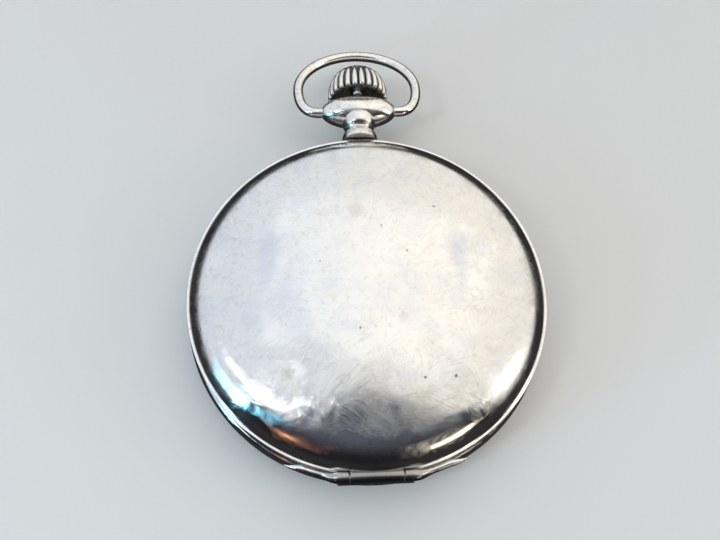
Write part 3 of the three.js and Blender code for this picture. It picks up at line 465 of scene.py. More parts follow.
def crown_nickel():
    """The crown: bright ridges, with near-black painted shade at the bottom of the flutes."""
    s = Surface("crown_nickel", (0.84, 0.82, 0.78), 1.0, 0.2)
    axes = s.node("ShaderNodeSeparateXYZ")
    s.link(s.space, axes.inputs["Vector"])
    across = s.math("MULTIPLY", axes.outputs["X"], axes.outputs["X"])
    upright = s.math("SUBTRACT", axes.outputs["Z"], STEM_Z)
    radius = s.math("SQRT", s.math("ADD", across, s.math("MULTIPLY", upright, upright)), 0)
    angle = s.math("ARCTAN2", upright, axes.outputs["X"])
    wave = s.math("ABSOLUTE", s.math("SINE", s.math("MULTIPLY", angle, FLUTES / 2), 0), 0)
    groove = s.ramp(wave, 0.25, 0.75, 1, 0)
    below_top = s.ramp(axes.outputs["Y"], CROWN_END - 1.1, CROWN_END - 0.5, 1, 0)
    outside = s.math("MULTIPLY", s.ramp(radius, 3.0, 4.0), below_top)
    # Painted shade: near-black in the bottoms of the flutes, below the crown's top.
    flute_shade = s.math("MULTIPLY", groove, outside)
    flute_shade = s.math("MULTIPLY", flute_shade, s.ramp(s.noise(0.5, 4), 0.2, 0.6, 0.75, 1))
    grime = s.ramp(s.noise(0.9, 5, warp=0.5), 0.5, 0.72)
    base = s.mix(s.math("MULTIPLY", grime, 0.4), (0.87, 0.85, 0.82), (0.6, 0.56, 0.5))
    s.color(s.mix(s.math("MULTIPLY", flute_shade, 0.93), base, (0.03, 0.028, 0.025)))
    s.roughness(s.math("ADD", s.ramp(s.noise(1.4, 4), 0.35, 0.7, 0.14, 0.26), s.math("MULTIPLY", flute_shade, 0.3)))
    s.bump(s.noise(0.8, 4), 0.01, 0.4)
    return s.material


def rimmed_space(s, centre):
    """Radius and angle about an upright axis through centre."""
    axes = s.node("ShaderNodeSeparateXYZ")
    s.link(s.space, axes.inputs["Vector"])
    x = s.math("SUBTRACT", axes.outputs["X"], centre[0])
    y = s.math("SUBTRACT", axes.outputs["Y"], centre[1])
    radius = s.math("SQRT", s.math("ADD", s.math("MULTIPLY", x, x), s.math("MULTIPLY", y, y)), 0)
    return radius, s.math("ARCTAN2", y, x)


def snailed_steel(name, centre):
    """Steel with fine curved brushing round a wheel's centre."""
    s = Surface(name, (0.72, 0.72, 0.74), 1.0, 0.24)
    radius, angle = rimmed_space(s, centre)
    turn = s.math("ADD", s.math("MULTIPLY", angle, 60), s.math("MULTIPLY", radius, 14))
    rays = s.math("SINE", turn, 0)
    s.color(s.mix(s.ramp(s.noise(0.8, 4), 0.4, 0.7), (0.76, 0.76, 0.78), (0.66, 0.66, 0.69)))
    s.roughness(s.ramp(s.noise(0.3, 4), 0.3, 0.7, 0.18, 0.32))
    s.bump(s.ramp(rays, -1, 1), 0.006, 0.6)
    return s.material


def steel():
    """Plain polished steel with a few rubbed marks."""
    s = Surface("polished_steel", (0.7, 0.7, 0.72), 1.0, 0.2)
    s.color(s.mix(s.ramp(s.noise(0.6, 4), 0.45, 0.7), (0.74, 0.74, 0.76), (0.6, 0.6, 0.63)))
    s.roughness(s.ramp(s.noise(0.5, 4), 0.3, 0.7, 0.14, 0.28))
    s.bump(scratches(s, 2, 0.06, 30), -0.002, 0.5)
    return s.material


def blued_steel():
    """Heat-blued steel, deeper or more violet in places."""
    s = Surface("blued_steel", (0.02, 0.035, 0.13), 1.0, 0.2)
    s.color(s.mix(s.ramp(s.noise(1.2, 3), 0.35, 0.7), (0.018, 0.04, 0.16), (0.04, 0.025, 0.12)))
    s.roughness(s.ramp(s.noise(0.5, 4), 0.3, 0.7, 0.15, 0.28))
    s.bump(s.noise(0.25, 3), 0.002, 0.4)
    return s.material


def striped_nickel():
    """Bridges in nickel with broad slanting stripes, each of them finely brushed."""
    s = Surface("striped_nickel", (0.78, 0.76, 0.72), 1.0, 0.28)
    turned = s.mapped(s.space, (1, 1, 1), (0, 0, 28))
    axes = s.node("ShaderNodeSeparateXYZ")
    s.link(turned, axes.inputs["Vector"])
    share = s.math("FRACT", s.math("DIVIDE", axes.outputs["X"], 1.7), 0)
    ridge = s.ramp(s.math("ABSOLUTE", s.math("SUBTRACT", share, 0.5), 0), 0.0, 0.5)
    brush = s.noise(0.05, 2, (1, 22, 22), (0, 0, 28))
    s.color(s.mix(ridge, (0.82, 0.8, 0.76), (0.66, 0.64, 0.61)))
    s.roughness(s.ramp(brush, 0.3, 0.7, 0.2, 0.36))
    s.bump(ridge, 0.02, 0.5)
    s.bump(brush, 0.003, 0.5)
    return s.material


def circled_nickel():
    """The main plate: nickel covered with overlapping small brushed circles."""
    s = Surface("circled_nickel", (0.76, 0.74, 0.7), 1.0, 0.3)
    rings = None
    for shift in ((0, 0, 0), (0.5, 0.5, 0)):
        scaled = s.mapped(s.space, (0.9, 0.9, 0), shift=shift)
        cell = s.node("ShaderNodeVectorMath", operation="FRACTION")
        s.link(scaled, cell.inputs[0])
        away = s.node("ShaderNodeVectorMath", operation="DISTANCE")
        s.link(cell.outputs["Vector"], away.inputs[0])
        away.inputs[1].default_value = (0.5, 0.5, 0)
        ring = s.ramp(s.math("SINE", s.math("MULTIPLY", away.outputs["Value"], 42), 0), -1, 1)
        rings = ring if rings is None else s.math("MAXIMUM", rings, ring)
    s.color(s.mix(rings, (0.72, 0.7, 0.66), (0.8, 0.78, 0.74)))
    s.roughness(s.ramp(s.noise(0.7, 4), 0.3, 0.7, 0.25, 0.4))
    s.bump(rings, 0.006, 0.6)
    return s.material


def gilt_brass():
    """Gilded brass wheels, slightly frosted."""
    s = Surface("gilt_brass", (0.83, 0.62, 0.28), 1.0, 0.3)
    s.color(s.mix(s.ramp(s.noise(0.9, 4), 0.4, 0.7), (0.86, 0.66, 0.32), (0.72, 0.5, 0.2)))
    s.roughness(s.ramp(s.noise(0.15, 4), 0.3, 0.7, 0.24, 0.4))
    s.bump(s.noise(0.12, 3), 0.003, 0.4)
    return s.material


def enamel():
    """White enamel, warmer in clouds, with a soft wavy gloss."""
    s = Surface("white_enamel", (0.86, 0.85, 0.81), 0.0, 0.12)
    s.color(s.mix(s.ramp(s.noise(5, 4), 0.4, 0.7), (0.88, 0.87, 0.84), (0.84, 0.82, 0.77)))
    s.shader.inputs["Coat Weight"].default_value = 0.5
    s.roughness(s.ramp(s.noise(2, 3), 0.3, 0.7, 0.08, 0.16))
    s.bump(s.noise(4, 2), 0.01, 0.3)
    return s.material


def dial_ink():
    """Black fired paint, a little uneven."""
    s = Surface("dial_ink", (0.012, 0.012, 0.014), 0.0, 0.25)
    s.color(s.mix(s.ramp(s.noise(0.4, 4), 0.4, 0.75), (0.01, 0.01, 0.012), (0.035, 0.033, 0.032)))
    s.bump(s.noise(0.2, 3), 0.002, 0.4)
    return s.material


def ruby():
    """Deep red jewel."""
    s = Surface("ruby", (0.45, 0.01, 0.04), 0.0, 0.06)
    s.color(s.mix(s.ramp(s.noise(0.5, 3), 0.35, 0.7), (0.5, 0.012, 0.05), (0.3, 0.004, 0.03)))
    s.shader.inputs["Coat Weight"].default_value = 1.0
    return s.material


def crystal_glass():
    """Clear mineral glass with the faintest wear."""
    s = Surface("crystal_glass", (0.98, 0.99, 0.985), 0.0, 0.02)
    s.shader.inputs["Transmission Weight"].default_value = 1
    s.shader.inputs["IOR"].default_value = 1.5
    s.roughness(s.ramp(s.noise(2, 4), 0.55, 0.8, 0.01, 0.06))
    s.bump(scratches(s, 2, 0.2, 50), -0.001, 0.3)
    return s.material


# ---- The case -------------------------------------------------------------------------------------

CAP_RADIUS = 70.46
CAP_EDGE = 20.6
SHOULDER = (18.52, 4.75)
SHOULDER_RADIUS = 7.1
DENTS = [(-10.9, -12.0, 2.6, 0.05), (-1.2, 12.4, 1.8, 0.03), (11.0, -12.8, 1.5, 0.02)]
SEGMENTS = 224


def cover_shape(r, angle, z):
    """Small dents in the cover's dome."""
    x, y = r * math.cos(angle), r * math.sin(angle)
    for dent_x, dent_y, width, depth in DENTS:
        reach = ((x - dent_x) ** 2 + (y - dent_y) ** 2) / width ** 2
        z -= depth * math.exp(-2 * reach) if z > 9 else 0
    return r, z


def cover_dome(offset, tilt_end, steps=30):
    """Half the dome's section from its middle outwards, offset from the outer face."""
    cap_tilt = math.degrees(math.asin(CAP_EDGE / CAP_RADIUS))
    cap = arc((0, DOME_TOP - CAP_RADIUS), CAP_RADIUS + offset, 0, cap_tilt, steps)
    shoulder = arc(SHOULDER, SHOULDER_RADIUS + offset, cap_tilt, tilt_end, steps // 2)
    return cap + shoulder[1:]


def back_cover():
    outer = cover_dome(0, 60)
    inner = cover_dome(-0.5, 53)
    rim = [(25, FLANGE_TOP, 0.1), (25, COVER_BASE, 0.1), (24.3, COVER_BASE)]
    rim += [(24.3, 7.5, 0.15), (23.8, 7.5, 0.1)]
    rim = soften([outer[-1], *rim, inner[-1]], 0.1)
    cover = lathe("cover_shell", outer[:-1] + rim + inner[::-1][1:], SEGMENTS, shape=cover_shape)
    y, z = BACK_HINGE.y, BACK_HINGE.z
    gap_middle, gap_half = 4.85, 1.45
    gaps = [(side * gap_middle - gap_half, side * gap_middle + gap_half) for side in (-1, 1)]
    carve(cover, [rod_x("cut", BACK_CLEAR, x0, x1, y, z) for x0, x1 in gaps])
    carve(cover, [rod_x("knuckle", BACK_BARREL, -BACK_HALF, BACK_HALF, y, z)], "UNION")
    carve(cover, [rod_x("bore", BACK_BORE, -4, 4, y, z)])
    return settle(cover, "back_cover", "case_silver", SILVER, "back_cover")


def hinge_wing(side):
    """One case barrel of the back hinge, running out into a wing along the rim with a flared tip."""
    start = BACK_HALF + HINGE_GAP
    profile = [(0, start), (BACK_BARREL - 0.08, start), (BACK_BARREL, start + 0.08)]
    steps = 32
    for i in range(steps + 1):
        x = 3.7 + i * (WING_END - 3.7) / steps
        slim = 1 - 0.37 * smoothstep(x, 4.6, 7.4)
        tip = 1 - 0.75 * smoothstep(x, 9.4, 12)
        profile.append((BACK_BARREL * slim * tip, x))
    profile += [(0.08, WING_END + 0.08), (0, WING_END + 0.1)]
    wing = lathe("wing", profile, 40)
    wing.data.transform(Matrix.Rotation(math.pi / 2, 4, "Y"))
    for vertex in wing.data.vertices:
        x, y, z = vertex.co / MM
        bend = smoothstep(x, 4.4, 7.2)
        reach = RIM_RADIUS + 0.45 + 0.45 * smoothstep(x, 9, WING_END)
        y += BACK_HINGE.y * (1 - bend) - bend * math.sqrt(reach ** 2 - x * x)
        vertex.co = Vector((side * x, y, z + BACK_HINGE.z - 0.45 * bend)) * MM
    if side < 0:
        wing.data.flip_normals()
    return wing


def smoothstep(x, low, high):
    t = min(1.0, max(0.0, (x - low) / (high - low)))
    return t * t * (3 - 2 * t)


def case_middle():
    section = [(25, 4.85, 0.12), (25, 8, 0.12), (24.45, 8, 0.08), (24.45, 7.3, 0.05), (23.5, 7.3, 0.08)]
    section += [(23.5, 6.7, 0.05), (21.65, 6.7, 0.08), (21.65, 5.6, 0.08), (23.3, 5.6, 0.05)]
    section.append((23.3, 4.85, 0.08))
    band = lathe("case_band", soften(section, closed=True), SEGMENTS, closed=True)
    carve(band, [hinge_wing(1), hinge_wing(-1)], "UNION")
    bezel_y, bezel_z = BEZEL_HINGE.y, BEZEL_HINGE.z
    y, z = BACK_HINGE.y, BACK_HINGE.z
    room = BACK_HALF + HINGE_GAP
    rooms = [rod_x("cut", BACK_CLEAR, -room, room, y, z, 0)]
    rooms.append(rod_x("cut", BEZEL_CLEAR, -5.1, 5.1, bezel_y, bezel_z, 0))
    carve(band, rooms)
    knuckle = rod_x("knuckle", BEZEL_BARREL, -BEZEL_HALF, BEZEL_HALF, bezel_y, bezel_z)
    carve(band, [knuckle, box_piece(-BEZEL_HALF, BEZEL_HALF, -25, -23.8, 4.75, 6)], "UNION")
    bores = [rod_x("bore", BACK_BORE, *sorted((side * 3.3, side * 5.5)), y, z) for side in (-1, 1)]
    bores.append(rod_x("bore", BEZEL_BORE, -2.1, 2.1, bezel_y, bezel_z))
    bores.append(turn_to_y(lathe("stem_bore", [(0, 20), (0.85, 20), (0.85, 27), (0, 27)], 48)))
    for degrees in (25, 155, -20):
        angle = math.radians(degrees)
        seat = lathe("screw_seat", [(0, 6.2), (1.3, 6.2), (1.3, 7.3), (0, 7.3)], 48)
        bores.append(move(seat, 21.6 * math.cos(angle), 21.6 * math.sin(angle)))
    carve(band, bores)
    return settle(band, "case", "case_silver", SILVER, "case_middle")


def box_piece(x0, x1, y0, y1, z0, z1, name="block"):
    corners = [(x, y, z) for x in (x0, x1) for y in (y0, y1) for z in (z0, z1)]
    faces = [(0, 1, 3, 2), (4, 5, 7, 6), (0, 1, 5, 4), (2, 3, 7, 6), (0, 2, 6, 4), (1, 3, 7, 5)]
    return mesh_object(name, corners, faces, False)


def bezel():
    section = [(20.75, 0.75, 0.1), (21.1, 0.5), (22.6, 0.6, 0.4), (24.4, 1.3, 0.7), (25.6, 3, 0.8)]
    section += [(25.4, 4.3, 0.3), (25, 4.7, 0.1), (23.1, 4.7, 0.05), (23.1, 5.4, 0.08), (22.6, 5.4, 0.08)]
    section += [(22.6, 3.6, 0.2), (21.6, 2.85, 0.2), (20, 2.75, 0.05), (20, 2.4, 0.05), (20.75, 2.4, 0.02)]
    ring = lathe("bezel_ring", soften(section, steps=5, closed=True), SEGMENTS, closed=True)
    y, z = BEZEL_HINGE.y, BEZEL_HINGE.z
    room = BEZEL_HALF + 0.1
    notch = [rod_x("cut", BEZEL_CLEAR, -room, room, y, z, 0), box_piece(-room, room, -25.1, -23.65, 4.15, 6)]
    carve(ring, notch)
    carve(ring, [rod_x("knuckle", BEZEL_BARREL, x, x + 2.9, y, z) for x in (-5, room)], "UNION")
    carve(ring, [rod_x("bore", BEZEL_BORE, x, x + 3.3, y, z) for x in (-5.2, 1.9)])
    return settle(ring, "bezel", "case_silver", SILVER, "bezel")


def crystal():
    section = [(0, 0), (17.5, 0, 0.1), (20.3, 1, 0.4), (20.6, 1.4, 0.2), (20.6, 2.2, 0.05), (19.7, 2.2, 0.1)]
    section += [(17.2, 1.2, 0.5), (0, 1.2)]
    glass = lathe("crystal_lens", soften(section, steps=5), SEGMENTS)
    return settle(glass, "bezel", "crystal_glass", GLASS, "crystal")


def pendant():
    neck = [(0, 24.2), (2.6, 24.2), (2.72, 25.6), (2.5, 26.5), (1.92, 27.2), (1.95, 27.5), (2.4, 28.0)]
    neck += [(2.6, 28.9), (2.45, 29.8), (2.0, 30.6), (0, 30.6)]
    body = turn_to_y(lathe("pendant_body", smooth_profile(neck), 96))
    head = lathe("head", arc((0, 0), 1, 0, 180, 40), 96)
    head.data.transform(Matrix.Diagonal((5.95, 2.63, 2.7, 1)))
    head.data.transform(Matrix.Translation(BOW_PIVOT * MM))
    carve(body, [head], "UNION")
    rooms = [(25.1, 0, 8.05), (25.3, 7.7, 20), (25.85, 0, 5.0)]
    cutters = [lathe("room", [(0, a), (r, a), (r, b), (0, b)], SEGMENTS) for r, a, b in rooms]
    cutters.append(turn_to_y(lathe("stem_bore", [(0, 20), (0.95, 20), (0.95, 40), (0, 40)], 64)))
    for side in (-1, 1):
        low, high = sorted((side * 4.8, side * 6.95))
        cutters.append(rod_x("bow_hole", BOW_WIRE + 0.1, low, high, BOW_PIVOT.y, BOW_PIVOT.z))
    carve(body, cutters)
    return settle(body, "case", "pendant_nickel", NICKEL, "pendant")


def smooth_profile(points, steps=6):
    """A smooth curve through (radius, height) points that keeps its straight first and last stretch."""
    inner = [Vector(point) for point in points[1:-1]]
    result = [points[0], points[1]]
    for i in range(len(inner) - 1):
        before = inner[max(i - 1, 0)]
        start, end = inner[i], inner[i + 1]
        after = inner[min(i + 2, len(inner) - 1)]
        square = 2 * before - 5 * start + 4 * end - after
        cube = 3 * start - before - 3 * end + after
        for k in range(1, steps + 1):
            t = k / steps
            spot = 0.5 * (2 * start + (end - before) * t + square * t * t + cube * t ** 3)
            result.append(tuple(spot))
    result.append(points[-1])
    return result


def bezier(points, steps):
    p0, p1, p2, p3 = (Vector(p) for p in points)
    curve = []
    for i in range(steps + 1):
        t = i / steps
        rest = 1 - t
        curve.append(p0 * rest ** 3 + p1 * 3 * t * rest ** 2 + p2 * 3 * t * t * rest + p3 * t ** 3)
    return curve


def bow():
    half = bezier([(4.95, 0), (5.45, 0), (5.95, 0), (6.35, 0)], 4)
    half += bezier([(6.35, 0), (8.55, 0.1), (9.45, 2.34), (9.45, 5.2)], 24)[1:]
    handle = 0.5523
    half += bezier([(9.45, 5.2), (9.45, 5.2 + handle * 7.9), (handle * 9.45, 13.1), (0, 13.1)], 40)[1:]
    loop = [(x, y) for x, y in half] + [(-x, y) for x, y in half[::-1][1:]]
    tilt = Matrix.Rotation(-BOW_DROOP, 3, "X")
    path = [BOW_PIVOT + tilt @ Vector((x, y, 0)) for x, y in loop]
    ring = sweep("bow_ring", path, BOW_WIRE, 32)
    return settle(ring, "bow", "pendant_nickel", NICKEL, "bow")


def crown():
    start, end = CROWN_START, CROWN_END
    section = [(0.78, start + 3.25, 0.05), (0.78, start + 0.85, 0.05), (2.3, start + 0.6, 0.15)]
    section += [(4.55, start, 0.2), (4.72, start + 0.5, 0.3), (4.6, start + 2.2, 0.8)]
    section += [(3.9, start + 3.9, 0.9), (2.3, end - 0.25, 0.7), (0, end)]
    closed = [(0, start + 3.25)] + subdivide(soften(section, steps=6), 0.3)

    def flutes(r, angle, y):
        depth = 0.5 * smoothstep(r, 2.6, 3.5) * (1 - smoothstep(y, end - 1.0, end - 0.4))
        wave = abs(math.sin(FLUTES / 2 * angle))
        return r - depth * (1 - wave ** 0.8), y + 0.25 * depth * (1 - wave) * (y < start + 0.6)

    knob = turn_to_y(lathe("crown_knob", closed, FLUTES * 16, shape=flutes))
    return settle(knob, "crown", "pendant_nickel", CROWN_METAL, "crown")


def subdivide(points, longest):
    result = [points[0]]
    for a, b in zip(points, points[1:]):
        pieces = max(1, math.ceil((Vector(b) - Vector(a)).length / longest))
        result += [tuple(Vector(a).lerp(Vector(b), i / pieces)) for i in range(1, pieces + 1)]
    return result


# ---- The dial and hands ---------------------------------------------------------------------------

DIAL_FRONT = 4.3
SUNK_FRONT = 4.52


def body_of(node):
    bodies = frame["record"]["behaviour"]["bodies"]
    return next(body for body, members in bodies.items() if node in members)


def join(name, pieces):
    """One piece from several."""
    work = bmesh.new()
    for piece in pieces:
        work.from_mesh(piece.data)
        bpy.data.objects.remove(piece)
    mesh = bpy.data.meshes.new(name)
    work.to_mesh(mesh)
    work.free()
    joined = bpy.data.objects.new(name, mesh)
    bpy.context.scene.collection.objects.link(joined)
    return joined


def prisms(name, outlines, z0, z1):
    """Flat shapes given as outlines of (x, y) points, all between two heights."""
    verts = []
    faces = []
    for outline in outlines:
        start = len(verts)
        count = len(outline)
        verts += [(x, y, z0) for x, y in outline] + [(x, y, z1) for x, y in outline]
        faces.append(tuple(range(start, start + count)))
        faces.append(tuple(range(start + count, start + 2 * count)))
        for i in range(count):
            j = (i + 1) % count
            faces.append((start + i, start + j, start + count + j, start + count + i))
    return mesh_object(name, verts, faces, False, False)


def dial():
    section = [(0, DIAL_FRONT), (21.3, DIAL_FRONT, 0.15), (21.3, 4.85), (0, 4.85)]
    plate = lathe("dial_plate", soften(section, 0.05), SEGMENTS)
    sink = lathe("sink", soften([(0, 3), (5.1, 3), (5.1, SUNK_FRONT, 0.12), (0, SUNK_FRONT)]), 128)
    move(sink, FOURTH.x, FOURTH.y)
    hole = lathe("hole", [(0, 3), (1.15, 3), (1.15, 8), (0, 8)], 64)
    small = lathe("hole", [(0, 3), (0.4, 3), (0.4, 8), (0, 8)], 48)
    move(small, FOURTH.x, FOURTH.y)
    carve(plate, [sink, hole, small])
    return settle(plate, "case", "enamel", ENAMEL, "dial")


def glyph_strokes(text, height):
    """Outlines in (across, outwards) for a Roman numeral, with thick and thin strokes and serifs."""
    half = height / 2
    wide = {"I": 0.92, "V": 1.7, "X": 1.8}
    cursor = -sum(wide[c] for c in text) / 2
    shapes = []

    def bar(x0, x1, thick):
        shapes.append([(x0 - thick, half), (x0 + thick, half), (x1 + thick, -half), (x1 - thick, -half)])

    def serif(x, y, reach):
        low, high = y - 0.06, y + 0.06
        shapes.append([(x - reach, low), (x + reach, low), (x + reach, high), (x - reach, high)])

    for c in text:
        middle = cursor + wide[c] / 2
        reach = 0.6 if c != "I" else 0
        if c == "I":
            bar(middle, middle, 0.24)
            serif(middle, half, 0.44)
            serif(middle, -half, 0.44)
        if c == "V":
            bar(middle - reach, middle, 0.24)
            bar(middle + reach, middle, 0.07)
            serif(middle - reach, half, 0.4)
            serif(middle + reach, half, 0.3)
        if c == "X":
            bar(middle - reach, middle + reach, 0.24)
            bar(middle + reach, middle - reach, 0.07)
            for x in (-reach, reach):
                serif(middle + x, half, 0.36)
                serif(middle + x, -half, 0.36)
        cursor += wide[c]
    return shapes


def on_dial(shape, hour_angle, radius, centre=(0, 0)):
    """Carries (across, outwards) points to the dial at an angle clockwise from 12 o'clock."""
    angle = math.radians(90 + hour_angle)
    out = Vector((math.cos(angle), math.sin(angle)))
    across = Vector((-math.sin(angle), math.cos(angle)))
    return [tuple(Vector(centre) + out * (radius + v) + across * u) for u, v in shape]


def dial_ring(radius, thick, centre=(0, 0), count=144):
    shapes = []
    for i in range(count):
        start, end = 2 * math.pi * i / count, 2 * math.pi * (i + 1) / count
        corners = [(radius, start), (radius + thick, start), (radius + thick, end), (radius, end)]
        shapes.append([(centre[0] + r * math.cos(t), centre[1] + r * math.sin(t)) for r, t in corners])
    return shapes


def tick(width, length):
    return [(-width / 2, 0), (width / 2, 0), (width / 2, length), (-width / 2, length)]


def dial_print():
    numerals = ["XII", "I", "II", "III", "IIII", "V", "", "VII", "VIII", "IX", "X", "XI"]
    shapes = []
    for i, text in enumerate(numerals):
        shapes += [on_dial(shape, 30 * i, 16.3) for shape in glyph_strokes(text, 3.3)]
    for minute in range(60):
        width = 0.34 if minute % 5 == 0 else 0.13
        shapes.append(on_dial(tick(width, 0.7), 6 * minute, 18.6))
    shapes += dial_ring(18.55, 0.09) + dial_ring(19.3, 0.09)
    printed = prisms("dial_numerals", shapes, DIAL_FRONT - 0.012, DIAL_FRONT + 0.01)
    settle(printed, "case", "enamel", INK)
    seconds = []
    for mark in range(60):
        long = 0.75 if mark % 5 == 0 else 0.4
        seconds.append(on_dial(tick(0.1, long), 6 * mark, 4.5 - long, (FOURTH.x, FOURTH.y)))
    seconds += dial_ring(4.5, 0.07, (FOURTH.x, FOURTH.y), 96)
    printed = prisms("seconds_track", seconds, SUNK_FRONT - 0.012, SUNK_FRONT + 0.01)
    settle(printed, "case", "enamel", INK)


def hand(node, at, heading, outline, hub, bore, low, high):
    """A hand: half widths along its length, and a hub ring round its bore."""
    shapes = []
    for (a, wide_a), (b, wide_b) in zip(outline, outline[1:]):
        if a < bore * 0.9 < b or a < -bore * 0.9 < b:
            edge = math.copysign(hub * 0.8, a + b)
            a, b = (edge, b) if edge > 0 else (a, edge)
        corners = [(wide_a, a), (wide_b, b), (-wide_b, b), (-wide_a, a)]
        shapes.append(on_dial(corners, heading, 0, at))
    blade = prisms(node + "_blade", shapes, low + 0.03, high - 0.03)
    section = [(bore, low), (hub, low), (hub, high), (bore, high)]
    ring = lathe(node + "_hub", soften(section, 0.05, closed=True), 64, True)
    move(ring, *at)
    return settle(join(node + "_fine", [blade, ring]), body_of(node), "blued_steel", BLUED, node)


def hands():
    hour = [(-2.9, 0.3), (-2.3, 0.5), (-1.3, 0.36), (1.3, 0.36), (6.2, 0.26), (6.5, 0.5), (7.1, 1.05)]
    hour += [(7.8, 1.3), (8.5, 1.05), (9.2, 0.5), (9.9, 0.2), (11, 0.03)]
    hand("hour_hand", (0, 0), 304.8, hour, 1.5, 1.04, 3.35, 3.6)
    minute = [(-3.9, 0.3), (-3.2, 0.5), (-1.0, 0.34), (1.0, 0.34), (11.6, 0.22), (11.9, 0.45), (12.5, 0.85)]
    minute += [(13.2, 1.0), (13.9, 0.75), (14.6, 0.35), (15.4, 0.16), (17, 0.03)]
    hand("minute_hand", (0, 0), 57.6, minute, 1.1, 0.62, 2.8, 3.05)
    seconds = [(-1.7, 0.26), (-1.1, 0.26), (-0.5, 0.1), (0.5, 0.1), (4.2, 0.04)]
    hand("seconds_hand", (FOURTH.x, FOURTH.y), 216, seconds, 0.6, 0.2, 3.8, 3.95)


# ---- The movement ---------------------------------------------------------------------------------

SCREWS = ["cock_screw", "pallet_bridge_screw", "barrel_bridge_screw_left", "barrel_bridge_screw_right"]
SCREWS += ["train_bridge_screw_right", "train_bridge_screw_lower", "case_screw_left", "case_screw_right"]
SCREWS += ["ratchet_screw", "crown_wheel_screw", "click_screw"]


def screw(node, turn):
    """A screw with a plain shank and a slotted, rounded head."""
    low, high = extent(node)
    x, y = (low.x + high.x) / 2, (low.y + high.y) / 2
    radius = (high.x - low.x) / 2
    head = min(0.6, 0.6 * (high.z - low.z))
    shank = 0.42 * radius
    profile = [(0, low.z, 0), (shank, low.z, 0.05), (shank, high.z - head, 0.02)]
    profile += [(radius, high.z - head, 0.05), (radius, high.z - 0.05, 0.14), (0, high.z, 0.1)]
    body = lathe(node + "_fine", soften(profile, steps=4), 64)
    length, width = 1.2 * radius, 0.13 * radius
    slot = box_piece(-length, length, -width, width, high.z - 0.45 * head, high.z + 1)
    slot.data.transform(Matrix.Rotation(math.radians(turn), 4, "Z"))
    carve(body, [slot])
    move(body, x, y)
    return settle(body, body_of(node), "blued_steel", BLUED, node)


def gear(node, at, teeth, root, tip, bore, z0, z1, material, slot):
    """A flat wheel with straight-sided teeth and bevelled edges."""
    outline = []
    for i in range(teeth):
        for share, radius in ((0.0, root), (0.28, root), (0.52, tip), (0.76, tip)):
            angle = 2 * math.pi * (i + share) / teeth
            outline.append((radius, angle))
    rows = []
    for radius, angle in outline:
        edge = radius - 0.06
        ring = [(bore, z0), (edge, z0), (radius, z0 + 0.05), (radius, z1 - 0.05)]
        ring += [(edge, z1), (bore + 0.05, z1), (bore, z1 - 0.05)]
        rows.append([(at[0] + r * math.cos(angle), at[1] + r * math.sin(angle), z) for r, z in ring])
    count = len(rows[0])
    verts = [v for row in rows for v in row]
    faces = []
    for i in range(len(rows)):
        j = (i + 1) % len(rows)
        for k in range(count):
            m = (k + 1) % count
            faces.append((i * count + k, j * count + k, j * count + m, i * count + m))
    wheel = mesh_object(node + "_fine", verts, faces)
    return settle(wheel, body_of(node), slot, material, node)


def winding_wheels():
    """The ratchet wheel's fine teeth, and the crown wheel's brushing."""
    at = joint_place("ratchet_turn")
    gear("ratchet_wheel", (at.x, at.y), 38, 5.35, 5.95, 0.7, 9.4, 9.8, RATCHET_STEEL, "steel")
    crown_wheel = frame["nodes"]["crown_wheel"]
    crown_wheel.data.materials.clear()
    crown_wheel.data.materials.append(CROWN_WHEEL_STEEL)


TIMING_SCREWS = 14


def balance():
    """The balance's rim, its two arms, and the timing screws round the rim."""
    section = [(6.45, 9.1), (7.0, 9.1), (7.0, 9.7), (6.45, 9.7)]
    parts = [lathe("rim", soften(section, 0.08, closed=True), 160, closed=True)]
    arm = [(-6.6, 0.42), (-3, 0.34), (-1.3, 0.5), (0, 0.95), (1.3, 0.5), (3, 0.34), (6.6, 0.42)]
    shapes = [[(a, wa), (b, wb), (b, -wb), (a, -wa)] for (a, wa), (b, wb) in zip(arm, arm[1:])]
    parts.append(prisms("arms", shapes, 9.25, 9.45))
    weight_section = [(0, 6.9), (0.16, 6.9), (0.16, 7.05), (0.29, 7.05), (0.29, 7.4), (0, 7.4)]
    for i in range(TIMING_SCREWS):
        angle = 2 * math.pi * (i + 0.5) / TIMING_SCREWS
        weight = lathe("weight", soften(weight_section, 0.03), 20)
        weight.data.transform(Matrix.Rotation(math.pi / 2, 4, "Y"))
        weight.data.transform(Matrix.Rotation(angle, 4, "Z"))
        parts.append(move(weight, 0, 0, 9.4))
    wheel = move(join("balance_fine", parts), BALANCE.x, BALANCE.y)
    return settle(wheel, "balance", "gilt_brass", GILT, "balance_wheel")


def hairspring():
    """The flat spiral between the balance's collet and the stud."""
    turns, steps = 8.2, 60
    inner, outer, half_width = 1.15, 3.05, 0.025
    path = []
    for i in range(int(turns * steps) + 1):
        path.append((inner + (outer - inner) * i / (turns * steps), 2 * math.pi * i / steps))
    verts = []
    for radius, angle in path:
        thin, wide = radius - half_width, radius + half_width
        for r, z in ((thin, 9.98), (wide, 9.98), (wide, 10.2), (thin, 10.2)):
            verts.append((BALANCE.x + r * math.cos(angle), BALANCE.y + r * math.sin(angle), z))
    faces = [(0, 1, 2, 3), tuple(range(len(verts) - 4, len(verts)))]
    for i in range(len(path) - 1):
        for k in range(4):
            m = (k + 1) % 4
            faces.append((4 * i + k, 4 * i + 4 + k, 4 * i + 4 + m, 4 * i + m))
    coil = mesh_object("hairspring_coil", verts, faces, False)
    return settle(coil, body_of("hairspring"), "blued_steel", BLUED, "hairspring")


